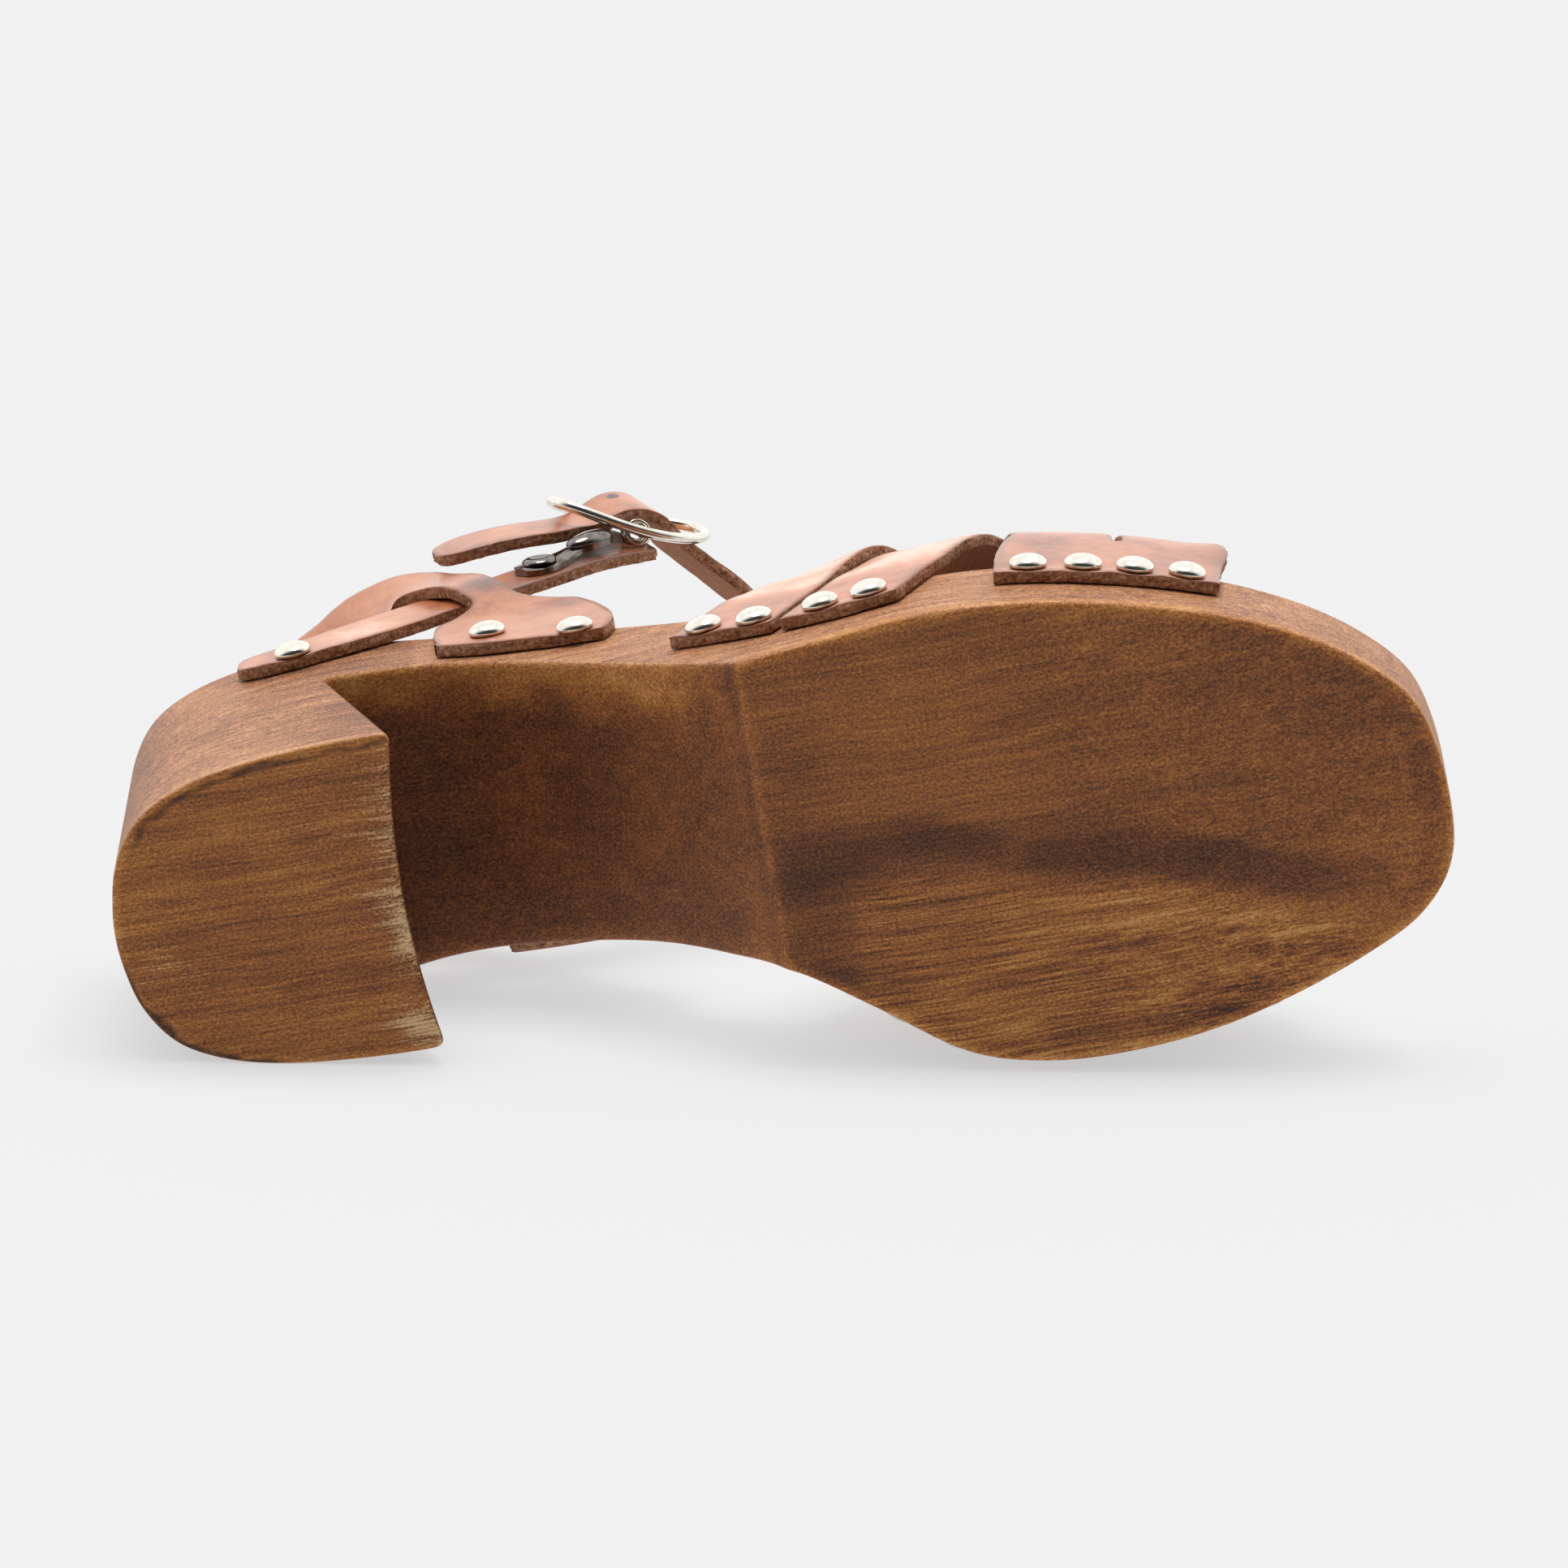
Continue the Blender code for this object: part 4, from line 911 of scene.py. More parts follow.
def wood_material():
    g = Graph("oiled_wood")
    p = g.place()
    slow = g.noise(p, 0.016, 2.0)
    bend = g.combine(0.0, g.centred(slow, 5.0), g.centred(slow, 4.0))
    q = g.vector('ADD', p, bend)
    long = g.noise(g.vector('MULTIPLY', q, (0.014, 0.55, 0.55)), 1.0, 6.0, 0.66)
    fine = g.noise(g.vector('MULTIPLY', q, (0.06, 2.4, 2.4)), 1.0, 3.0, 0.6)
    wide = g.noise(g.vector('MULTIPLY', q, (0.010, 0.14, 0.14)), 1.0, 3.0, 0.55)
    blot = g.noise(p, 0.045, 5.0, 0.62)
    grit = g.window(g.noise(g.vector('MULTIPLY', p, (0.8, 1.0, 1.0)), 2.1, 4.0, 0.85), 0.30, 0.70)
    patch = g.noise(p, 0.24, 5.0, 0.68)
    streak = g.field("streak")
    tone = g.add(g.field("tone"),
                 g.math('MULTIPLY', g.centred(long, 0.62), streak),
                 g.math('MULTIPLY', g.centred(fine, 0.72), streak),
                 g.centred(wide, 0.26), g.centred(blot, 0.30),
                 g.math('MULTIPLY', g.centred(patch, 0.42), g.field("mottle")),
                 g.centred(grit, 0.58))
    stained = g.ramp(tone, [(0.00, (0.044, 0.018, 0.010)), (0.22, (0.118, 0.044, 0.021)),
                            (0.42, (0.256, 0.085, 0.030)), (0.58, (0.390, 0.137, 0.039)),
                            (0.76, (0.56, 0.222, 0.052)), (1.00, (0.74, 0.385, 0.13))])
    walls = g.ramp(tone, [(0.00, (0.064, 0.029, 0.015)), (0.25, (0.160, 0.064, 0.032)),
                          (0.45, (0.32, 0.132, 0.060)), (0.62, (0.48, 0.210, 0.095)),
                          (1.00, (0.72, 0.42, 0.22))])
    colour = g.mix(g.field("rosy"), stained, walls)
    marks = g.add(g.field("pale"), g.centred(grit, 0.5), g.centred(fine, 2.2), g.centred(long, 0.5))
    scuff = g.math('MULTIPLY', g.window(marks, 0.38, 1.15), g.window(g.field("pale"), 0.03, 0.3))
    colour = g.mix(scuff, colour, (0.82, 0.56, 0.30))
    grime = g.window(g.add(g.field("dirt"), g.centred(grit, 0.45), g.centred(patch, 0.6)), 0.30, 0.75)
    grime = g.math('MULTIPLY', grime, g.window(g.field("dirt"), 0.02, 0.3))
    colour = g.mix(grime, colour, (0.034, 0.024, 0.016))
    rough = g.math('MULTIPLY_ADD', long, 0.22, 0.42)
    height = g.add(g.math('MULTIPLY', long, 0.4), g.math('MULTIPLY', fine, 0.4), g.math('MULTIPLY', grit, 0.35))
    return g.finish(Base_Color=colour, Roughness=rough, Normal=g.bump(height, 0.00012, 0.5),
                    Specular_IOR_Level=0.25)


def leather_material():
    g = Graph("tan_leather")
    p = g.place()
    blot = g.noise(p, 0.085, 4.0, 0.55)
    fine = g.noise(p, 0.9, 4.0, 0.65)
    grain = g.cells(g.vector('ADD', p, g.combine(g.centred(fine, 0.6), g.centred(fine, 0.4), 0.0)), 1.7)
    tone = g.add(g.centred(blot, 1.05), g.centred(g.noise(p, 0.30, 3.0, 0.6), 0.35), g.centred(fine, 0.40),
                 # this field darkens burnished folds and painted shade, and where it is negative it lightens the
                 # leather as a painted glare
                 g.math('MULTIPLY', g.field("burnish_and_painted_light"), -0.62),
                 g.math('MULTIPLY', g.field("rim"), -0.10), 0.50)
    colour = g.ramp(tone, [(0.0, (0.095, 0.026, 0.008)), (0.28, (0.30, 0.082, 0.024)),
                           (0.52, (0.52, 0.168, 0.060)), (0.78, (0.64, 0.250, 0.110)),
                           (1.0, (0.80, 0.49, 0.36))])
    # painted shade: a near-black spot stands for the punched hole beside the ring, which is not cut
    hole = g.node("ShaderNodeVectorMath", operation='DISTANCE')
    g.put(hole.inputs[0], g.vector('MULTIPLY', p, (1.0, 1.0, 0.8)))
    g.put(hole.inputs[1], tuple(float(v) for v in strap_hole() * (1.0, 1.0, 0.8)))
    colour = g.mix(g.window(hole.outputs["Value"], 1.35, 1.05), colour, (0.05, 0.018, 0.010))
    rim = g.math('MULTIPLY', g.field("rim"), g.window(g.add(fine, blot), 0.7, 1.25))
    colour = g.mix(rim, colour, (0.225, 0.078, 0.038))
    height = g.add(g.math('MULTIPLY', grain, 0.6), g.math('MULTIPLY', fine, 0.6))
    return g.finish(Base_Color=colour, Roughness=g.math('MULTIPLY_ADD', fine, 0.2, 0.32),
                    Normal=g.bump(height, 0.00010, 0.5), Specular_IOR_Level=0.55,
                    Coat_Weight=0.5, Coat_Roughness=0.24)


def edge_material():
    g = Graph("raw_leather_edge")
    p = g.place()
    crumb = g.noise(p, 1.25, 6.0, 0.75)
    fibre = g.noise(g.vector('MULTIPLY', p, (0.5, 1.4, 2.6)), 1.0, 4.0, 0.7)
    big = g.noise(p, 0.14, 3.0)
    tone = g.add(g.centred(crumb, 2.0), g.centred(fibre, 1.1), g.centred(big, 0.5), 0.50)
    colour = g.ramp(tone, [(0.0, (0.09, 0.037, 0.019)), (0.28, (0.31, 0.140, 0.074)),
                           (0.54, (0.55, 0.280, 0.160)), (0.8, (0.80, 0.51, 0.34)), (1.0, (0.95, 0.77, 0.62))])
    return g.finish(Base_Color=colour, Roughness=0.92, Specular_IOR_Level=0.15,
                    Normal=g.bump(g.add(crumb, fibre), 0.00055, 0.9))


def flesh_material():
    g = Graph("leather_flesh_side")
    p = g.place()
    nap = g.noise(p, 1.0, 6.0, 0.72)
    big = g.noise(p, 0.10, 3.0)
    tone = g.add(g.centred(nap, 0.8), g.centred(big, 0.5), 0.5)
    colour = g.ramp(tone, [(0.0, (0.110, 0.044, 0.020)), (0.40, (0.31, 0.132, 0.062)),
                           (0.72, (0.50, 0.240, 0.122)), (1.0, (0.72, 0.43, 0.25))])
    return g.finish(Base_Color=colour, Roughness=0.9, Specular_IOR_Level=0.15,
                    Normal=g.bump(nap, 0.0004, 0.8), Sheen_Weight=0.15)


def insole_material():
    g = Graph("footbed_cover")
    p = g.place()
    blot = g.noise(p, 0.05, 4.0, 0.6)
    fine = g.noise(p, 0.8, 4.0, 0.65)
    grain = g.cells(p, 1.3)
    tone = g.add(g.centred(blot, 0.5), g.centred(fine, 0.25), g.math('MULTIPLY', g.field("tread_in"), -0.35), 0.55)
    colour = g.ramp(tone, [(0.0, (0.19, 0.075, 0.036)), (0.4, (0.40, 0.165, 0.078)),
                           (0.7, (0.52, 0.235, 0.115)), (1.0, (0.62, 0.31, 0.17))])
    return g.finish(Base_Color=colour, Roughness=g.math('MULTIPLY_ADD', fine, 0.2, 0.42),
                    Normal=g.bump(g.add(grain, fine), 0.00012, 0.4), Specular_IOR_Level=0.4)


def nickel_material(name, colour_low, colour_high, rough_low, rough_gain):
    g = Graph(name)
    p = g.place()
    smear = g.noise(p, 0.7, 4.0, 0.6)
    scratch = g.noise(g.vector('MULTIPLY', p, (0.6, 5.0, 5.0)), 1.0, 3.0, 0.6)
    colour = g.ramp(g.add(g.math('MULTIPLY', smear, 0.7), g.math('MULTIPLY', scratch, 0.3)),
                    [(0.3, colour_low), (0.7, colour_high)])
    rough = g.math('MULTIPLY_ADD', g.math('MULTIPLY', smear, scratch), rough_gain, rough_low)
    return g.finish(Base_Color=colour, Roughness=rough, Metallic=1.0,
                    Normal=g.bump(scratch, 0.00002, 0.25))


WOOD = wood_material()
RAW = edge_material()
FLESH = flesh_material()
COVER = insole_material()
NICKEL = nickel_material("polished_nickel", (0.66, 0.62, 0.54), (0.86, 0.83, 0.76), 0.07, 0.22)
DARK = nickel_material("dark_nickel", (0.090, 0.078, 0.070), (0.30, 0.27, 0.25), 0.07, 0.22)


# ------------------------------------------------------------------ sole and footbed cover
def build_sole():
    verts, faces = subdivided(*sole_shape(), 2)
    normals = vertex_normals(verts, faces)
    obj = make_piece("sole_wood", verts, faces, [WOOD], attributes=wood_layers(verts, normals))
    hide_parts("wooden_sole")
    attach(obj, "root")
    return obj


def build_insole():
    rows = [k / 3 for k in range(3 * TIP_ROW + 1)]
    verts, faces = [], []

    def inset(side, u, d):
        return on_plan(side, u) - plan_normal(side, u) * d

    def layer(lift, d0):
        out = []
        for u in rows:
            a, b = inset(-1, u, d0), inset(1, u, d0)
            ai, bi = inset(-1, u, d0 + 1.6), inset(1, u, d0 + 1.6)
            pts = [a] + [ai + (bi - ai) * s for s in np.linspace(0, 1, 7)] + [b]
            out.append([(p[0], p[1], float(footbed(p[0])) + lift) for p in pts])
        return out

    def grid(block):
        base, n = len(verts), len(block[0])
        for row in block:
            verts.extend(row)
        for i in range(len(block) - 1):
            for j in range(n - 1):
                a = base + i * n + j
                faces.append((a, a + 1, a + n + 1, a + n))

    low, high = layer(0.02, INSOLE_INSET), layer(GAP + INSOLE, INSOLE_INSET)
    grid(low)
    grid(high)
    for k in (0, -1):
        grid([[low[i][k], tuple((np.array(low[i][k]) + np.array(high[i][k])) / 2), high[i][k]]
              for i in range(len(rows))])
    verts, faces = subdivided(*weld(verts, faces), 2)
    x, y, z = verts.T
    press = blob(np.column_stack((x, y)), (26, 0), (17, 13)) + blob(np.column_stack((x, y)), (160, 6), (22, 22)) \
        + 0.7 * blob(np.column_stack((x, y)), (205, 22), (12, 8))
    obj = make_piece("footbed_cover", verts, faces, [COVER], attributes={"tread_in": np.clip(press, 0, 1)})
    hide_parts("insole")
    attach(obj, "root")
    return obj


# ------------------------------------------------------------------ leather
def thick_sheet(name, top, bottom, quads, rim=None, burnish_and_painted_light=None, fray=0.29, seed=1):
    """Closed leather piece from its two faces; cut edges are ragged strips of their own material."""
    top, bottom, quads = np.array(top, float), np.array(bottom, float), np.asarray(quads, np.int64)
    n = len(top)
    rim = np.zeros(n) if rim is None else np.asarray(rim, float)
    burnish_and_painted_light = np.zeros(n) if burnish_and_painted_light is None else np.asarray(burnish_and_painted_light, float)
    a = quads.ravel()
    b = np.roll(quads, -1, axis=1).ravel()
    keep = ~np.isin(a * n + b, b * n + a)
    ea, eb = a[keep], b[keep]
    border = np.unique(np.concatenate((ea, eb)))
    up = unit(top - bottom)
    out = np.zeros((n, 3))
    lean = unit(np.cross(unit(top[eb] - top[ea]), up[ea]))
    np.add.at(out, ea, lean)
    np.add.at(out, eb, lean)
    out = unit(out)
    where = {int(v): k for k, v in enumerate(border)}
    coarse = noise3(top[border], 1.3, seed)
    top[border] += out[border] * (0.35 * fray * coarse)[:, None] - up[border] * 0.10
    bottom[border] += out[border] * (0.9 * fray * noise3(bottom[border], 0.9, seed + 5))[:, None]
    levels = (0.10, 0.26, 0.42, 0.58, 0.74, 0.90)
    rows = []
    for k, t in enumerate(levels):
        p = top[border] * (1 - t) + bottom[border] * t
        push = 0.10 * (1 - (2 * t - 1) ** 2) + (0.3 if k == 0 else 1.0) * fray * (
            0.7 * noise3(p, 0.75, seed + 11 + k) + 0.5 * noise3(p, 1.9, seed + 31) + 0.35 * noise3(p, 5.0, seed + 41))
        rows.append(p + out[border] * push[:, None])
    verts = np.concatenate([top, bottom] + rows)
    base = 2 * n
    m = len(border)
    faces = [tuple(q) for q in quads] + [tuple(q[::-1] + n) for q in quads]
    slots = [0] * len(quads) + [2] * len(quads)
    for p, q in zip(ea, eb):
        kp, kq = where[int(p)], where[int(q)]
        chain_p = [int(p)] + [base + r * m + kp for r in range(len(levels))] + [int(p) + n]
        chain_q = [int(q)] + [base + r * m + kq for r in range(len(levels))] + [int(q) + n]
        for r in range(len(chain_p) - 1):
            faces.append((chain_q[r], chain_p[r], chain_p[r + 1], chain_q[r + 1]))
            slots.append(0 if r == 0 else 1)
    fill = lambda v: np.concatenate([v, v] + [v[border]] * len(levels))
    obj = make_piece(name, verts, faces, [TAN, RAW, FLESH], slots,
                     {"rim": fill(np.clip(rim, 0, 1)), "burnish_and_painted_light": fill(np.clip(burnish_and_painted_light, -1, 1))})
    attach(obj, "root")
    return obj


def stud_places(side):
    places = []
    for group, x, z in STUDS:
        if side > 0 and group == "tab":
            x += MEDIAL_TAB_SHIFT
            z += MEDIAL_STUD_RISE
        if group in ("mid", "front"):
            x += VAMP_MEDIAL_SHIFT if side > 0 else 0.0
            z = float(smooth(VAMP_EDGE, x, 1 if side < 0 else 2)) + STUD_ABOVE_EDGE
        slope = float(wall(x + 2, side) - wall(x - 2, side)) / 4
        normal = unit(np.array((-slope, float(side), 0.0)))
        foot = np.array((x, side * float(wall(x, side)), z))
        hollow = float((wall(x + STUD_RADIUS, side) + wall(x - STUD_RADIUS, side)) / 2 - wall(x, side))
        places.append((foot + normal * (2 * GAP + LEATHER + 0.12 + max(hollow, 0.0) * 1.5), normal))
    return places


STUD_SPOTS = {-1: stud_places(-1), 1: stud_places(1)}
ALL_STUDS = [s for side in (-1, 1) for s in STUD_SPOTS[side]]


def pressed(points):
    """How far the studs press the leather down at points."""
    total = np.zeros(len(points))
    for centre, normal in ALL_STUDS:
        d = points - centre
        h = d @ normal
        r = np.linalg.norm(d - h[:, None] * normal, axis=1)
        total += np.where(np.abs(h) < 6, 0.30 * np.exp(-(r / 3.9) ** 4) - 0.05 * np.exp(-((r - 5.6) / 1.4) ** 2), 0.0)
    return total


def vamp_section(x):
    """Middle of the leather over the last at a section, lateral edge to medial edge."""
    rise = float(smooth(INSTEP, x, 1))
    seat = float(footbed(x)) + INSOLE + 2.0
    top = float(footbed(x)) + rise
    ends = []
    for side, column in ((-1, 1), (1, 2)):
        slope = float(wall(x + 1, side) - wall(x - 1, side)) / 2
        ends.append((float(wall(x, side)) + (GAP + LEATHER / 2) * (1 + slope * slope) ** 0.5,
                     float(smooth(VAMP_EDGE, x, column))))
    crown = (ends[1][0] - ends[0][0]) / 2 + 0.07 * (ends[0][0] + ends[1][0])
    out = []
    a = (pi / 2) * np.linspace(0, 1, 61)
    for (half, low), side in zip(ends, (-1, 1)):
        full = float(smooth(INSTEP, x, 3 if side < 0 else 2))
        run = [(side * half, low + (seat - low) * k / 12) for k in range(12)]
        run += list(zip(crown + (side * half - crown) * np.cos(a) ** (2 / full),
                        seat + (top - seat) * np.sin(a) ** (2 / full)))
        out.append(run)
    sec = np.array(out[0] + out[1][::-1][1:], float)
    sec[np.isnan(sec)] = crown
    return sec


VAMP_X = np.arange(92.0, 216.01, 1.0)
VAMP_G = np.linspace(0.0, 1.0, 161)


def vamp_table():
    table = np.zeros((len(VAMP_X), len(VAMP_G), 2))
    for i, x in enumerate(VAMP_X):
        sec = vamp_section(x)
        run = np.concatenate(([0.0], np.cumsum(np.linalg.norm(np.diff(sec, axis=0), axis=1))))
        run /= run[-1]
        for k in (0, 1):
            table[i, :, k] = np.interp(VAMP_G, run, sec[:, k])
    return table


VAMP = vamp_table()


def vamp_point(x, g):
    """Points on the vamp's middle surface, cubic between the table's sections."""
    x, g = np.broadcast_arrays(np.asarray(x, float), np.asarray(g, float))
    fx = np.clip((x - VAMP_X[0]), 1.0, len(VAMP_X) - 3.0)
    fg = np.clip(g * (len(VAMP_G) - 1), 0.0, len(VAMP_G) - 1.0)
    ix = np.floor(fx).astype(int)
    ig = np.minimum(np.floor(fg).astype(int), len(VAMP_G) - 2)
    tx, tg = fx - ix, fg - ig

    def weights(t):
        return (-0.5 * t + t * t - 0.5 * t ** 3, 1 - 2.5 * t * t + 1.5 * t ** 3,
                0.5 * t + 2 * t * t - 1.5 * t ** 3, -0.5 * t * t + 0.5 * t ** 3)

    wx, wg = weights(tx), weights(tg)
    out = np.zeros(x.shape + (2,))
    for a in range(4):
        for b in range(4):
            gi = np.clip(ig + b - 1, 0, len(VAMP_G) - 1)
            out += (wx[a] * wg[b])[..., None] * VAMP[ix + a - 1, gi]
    return np.concatenate((x[..., None], out), axis=-1)


def vamp_normal(x, g):
    g = np.asarray(g, float)
    du = vamp_point(x + 0.8, g) - vamp_point(x - 0.8, g)
    dv = vamp_point(x, np.minimum(g + 0.012, 1.0)) - vamp_point(x, np.maximum(g - 0.012, 0.0))
    return unit(np.cross(du, dv))


def strap_lean(g):
    bend = 0.3
    slope = 1.0 / (bend / 2 + (1 - bend))
    g = np.asarray(g, float)
    k = np.clip((g - TAB_HOLD) / (1 - TAB_HOLD), 0.0, 1.0)
    run = np.where(k < bend, slope * k * k / (2 * bend), slope * (bend / 2 + k - bend))
    return run - 0.035 * np.exp(-((g - 0.18) / 0.075) ** 2)


def vamp_path(index, g):
    name, front, front_half, back, back_half = VAMP_STRAPS[index]
    return front + (back - front) * strap_lean(g)


def vamp_half(index, g):
    name, front, front_half, back, back_half = VAMP_STRAPS[index]
    return front_half + (back_half - front_half) * step(0.3, 1.0, g) - 0.8 * np.exp(-((g - 0.27) / 0.10) ** 2)


def weave(piece, index, g):
    """Rise of a strap over and under the two that it crosses."""
    total = np.zeros_like(np.asarray(g, float))
    gs = np.linspace(0.2, 0.8, 241)
    for other in range(2):
        at = gs[int(np.argmin(np.abs(vamp_path(index, gs) - vamp_path(other, 1 - gs))))]
        way = 1 if (index + other) % 2 == 0 else -1
        total += way * (-1 if piece == 0 else 1) * WEAVE * np.exp(-((g - at) / 0.075) ** 2)
    return total


def arch(index, from_lateral, forward):
    """Bow of the straps that rise from the two lateral tabs, more at their front edges."""
    at, width, rear, front = ((0.27, 0.12, -2.2, 1.2), (0.19, 0.08, -1.0, 0.3))[index]
    bow = np.exp(-((from_lateral - at) / width) ** 2) * step(0.105, 0.165, from_lateral)
    return bow * (rear + (front - rear) * step(-1.1, 1.1, forward))


def build_vamp(piece):
    """One forked piece: a nailed tab at the front and two straps across the foot."""
    stations = np.concatenate((np.linspace(0.0, VAMP_TAB_END, 34), np.linspace(VAMP_TAB_END, 1.0, 190)[1:]))
    fork = 33
    shares = np.array((-1.0, -0.93, -0.8, -0.6, -0.4, -0.2, 0.0, 0.2, 0.4, 0.6, 0.8, 0.93, 1.0))
    m = len(shares)
    count = len(stations)
    grid_x = np.zeros((count, 2, m))
    lift = np.zeros((count, 2, m))
    rim = np.zeros((count, 2, m))
    mid = 0.5 * (vamp_path(0, stations) + vamp_half(0, stations) + vamp_path(1, stations) - vamp_half(1, stations))
    for index in (0, 1):
        path, half = vamp_path(index, stations), vamp_half(index, stations)
        low, high = path - half, path + half
        lip = VAMP_TAB_LIP * (1 - step(VAMP_TAB_END * 0.9, VAMP_TAB_END * 1.2, stations))
        in_tab = np.arange(count) <= fork
        if index == 0:
            low = low - lip
            high = np.where(in_tab, mid, high)
        else:
            high = high + lip
            low = np.where(in_tab, mid, low)
        grid_x[:, index] = 0.5 * (low + high)[:, None] + 0.5 * (high - low)[:, None] * shares
        lift[:, index] = weave(piece, index, stations)[:, None]
        if piece == 1:
            lift[:, index] += arch(index, 1 - stations[:, None], shares[None, :])
        elif index == 1:
            lift[:, index] += 1.0 * np.exp(-((stations[:, None] - 0.17) / 0.055) ** 2) * step(0.3, 1.0, shares[None, :])
        side_rim = np.exp(-((1 - np.abs(shares)) * 9.0 / 0.9) ** 2)
        rim[:, index] = side_rim
        if index == 0:
            rim[:fork, index, m // 2:] = 0
        else:
            rim[:fork, index, :m // 2] = 0
    g = np.broadcast_to(stations[:, None, None], grid_x.shape)
    ends = np.maximum(np.exp(-(g * 150 / 0.9) ** 2), np.exp(-((1 - g) * 150 / 0.9) ** 2))
    rim = np.maximum(rim, ends)
    if piece == 1:
        x, gg = grid_x + VAMP_MEDIAL_SHIFT * (1 - g), 1 - g
    else:
        x, gg = grid_x + VAMP_MEDIAL_SHIFT * g, g
    p, nrm = vamp_point(x, gg), vamp_normal(x, gg)
    ripple = 0.10 * noise3(p, 11.0, 21 + piece)
    middle = p + nrm * (lift + ripple)[..., None]
    top = (middle + nrm * (LEATHER / 2)).reshape(-1, 3)
    bottom = (middle - nrm * (LEATHER / 2)).reshape(-1, 3)
    flat = nrm.reshape(-1, 3)
    top -= flat * pressed(top)[:, None]
    ids = np.arange(count * 2 * m).reshape(count, 2, m)
    ids[:fork + 1, 1, 0] = ids[:fork + 1, 0, m - 1]
    quads = []
    for index in (0, 1):
        a = ids[:-1, index, :-1].ravel()
        b = ids[1:, index, :-1].ravel()
        c = ids[1:, index, 1:].ravel()
        d = ids[:-1, index, 1:].ravel()
        quads.append(np.column_stack((a, b, c, d)) if piece == 0 else np.column_stack((d, c, b, a)))
    quads = np.concatenate(quads)
    used = np.unique(quads)
    remap = np.full(count * 2 * m, -1)
    remap[used] = np.arange(len(used))
    top, bottom, rim = top[used], bottom[used], rim.reshape(-1)[used]
    quads = remap[quads]
    a, b, c = top[quads[:, 0]], top[quads[:, 1]], top[quads[:, 2]]
    facing = np.sum(np.cross(b - a, c - a) * (top - bottom)[quads[:, 0]], axis=1)
    if np.median(facing) < 0:
        quads = quads[:, ::-1]
    across, down = top[:, 1], top[:, 2] - footbed(top[:, 0])
    # on the lateral fork, painted shade on its tab near the top of the wall; on the medial fork, a painted glare
    # lightens its straps on the lateral side
    near = (across < 0) * step(-14.0, -4.0, down)
    if piece == 0:
        burnish_and_painted_light = 0.14 * near * (1 - step(6.0, 24.0, down))
    else:
        burnish_and_painted_light = -0.72 * (across < 0) * step(-4.0, 4.0, down) * (1 - step(14.0, 24.0, down))
    return thick_sheet("vamp_lateral_fork" if piece == 0 else "vamp_medial_fork", top, bottom, quads,
                       rim=0.8 * rim, burnish_and_painted_light=burnish_and_painted_light, seed=3 + 40 * piece)


# ------------------------------------------------------------------ heel and ankle straps
def fit_side(x, out, z):
    near = 1.0 - step(footbed(x) + 4.0, footbed(x) + 34.0, z)
    return np.where((x > 8.0) & (x < 110.0), out + (wall(x, 1) - wall(x, -1)) * near, out)


def outward(p):
    v = np.stack((p[:, 0] - np.clip(p[:, 0], 31.0, 85.0), p[:, 1], np.zeros(len(p))), axis=1)
    v = unit(v)
    x, z = p[:, 0], p[:, 2]
    v[:, 2] = (0.45 * step(96.0, 107.0, x)
               - 0.26 * step(14.0, 32.0, x) * (1 - step(52.0, 62.0, x)) * step(76.0, 84.0, z))
    return unit(v)


def against_wall(p):
    shape = p.shape
    p = p.reshape(-1, 3).copy()
    x, y, z = p.T
    side = np.where(y > 0, 1, -1)
    slope = (wall(x + 1, side) - wall(x - 1, side)) / 2
    seat = wall(x, side) + GAP * np.sqrt(1 + slope * slope)
    out = side * y
    hug = 1.0 - step(0.0, 9.0, z - footbed(x))
    near = np.abs(out - seat) < 4.0
    out = np.where(near, out + (seat - out) * hug, out)
    out = np.where(z < footbed(x) + INSOLE + 1.2, np.maximum(out, seat), out)
    p[:, 1] = np.where((x > 0) & (x < 110), side * out, y)
    return p.reshape(shape)


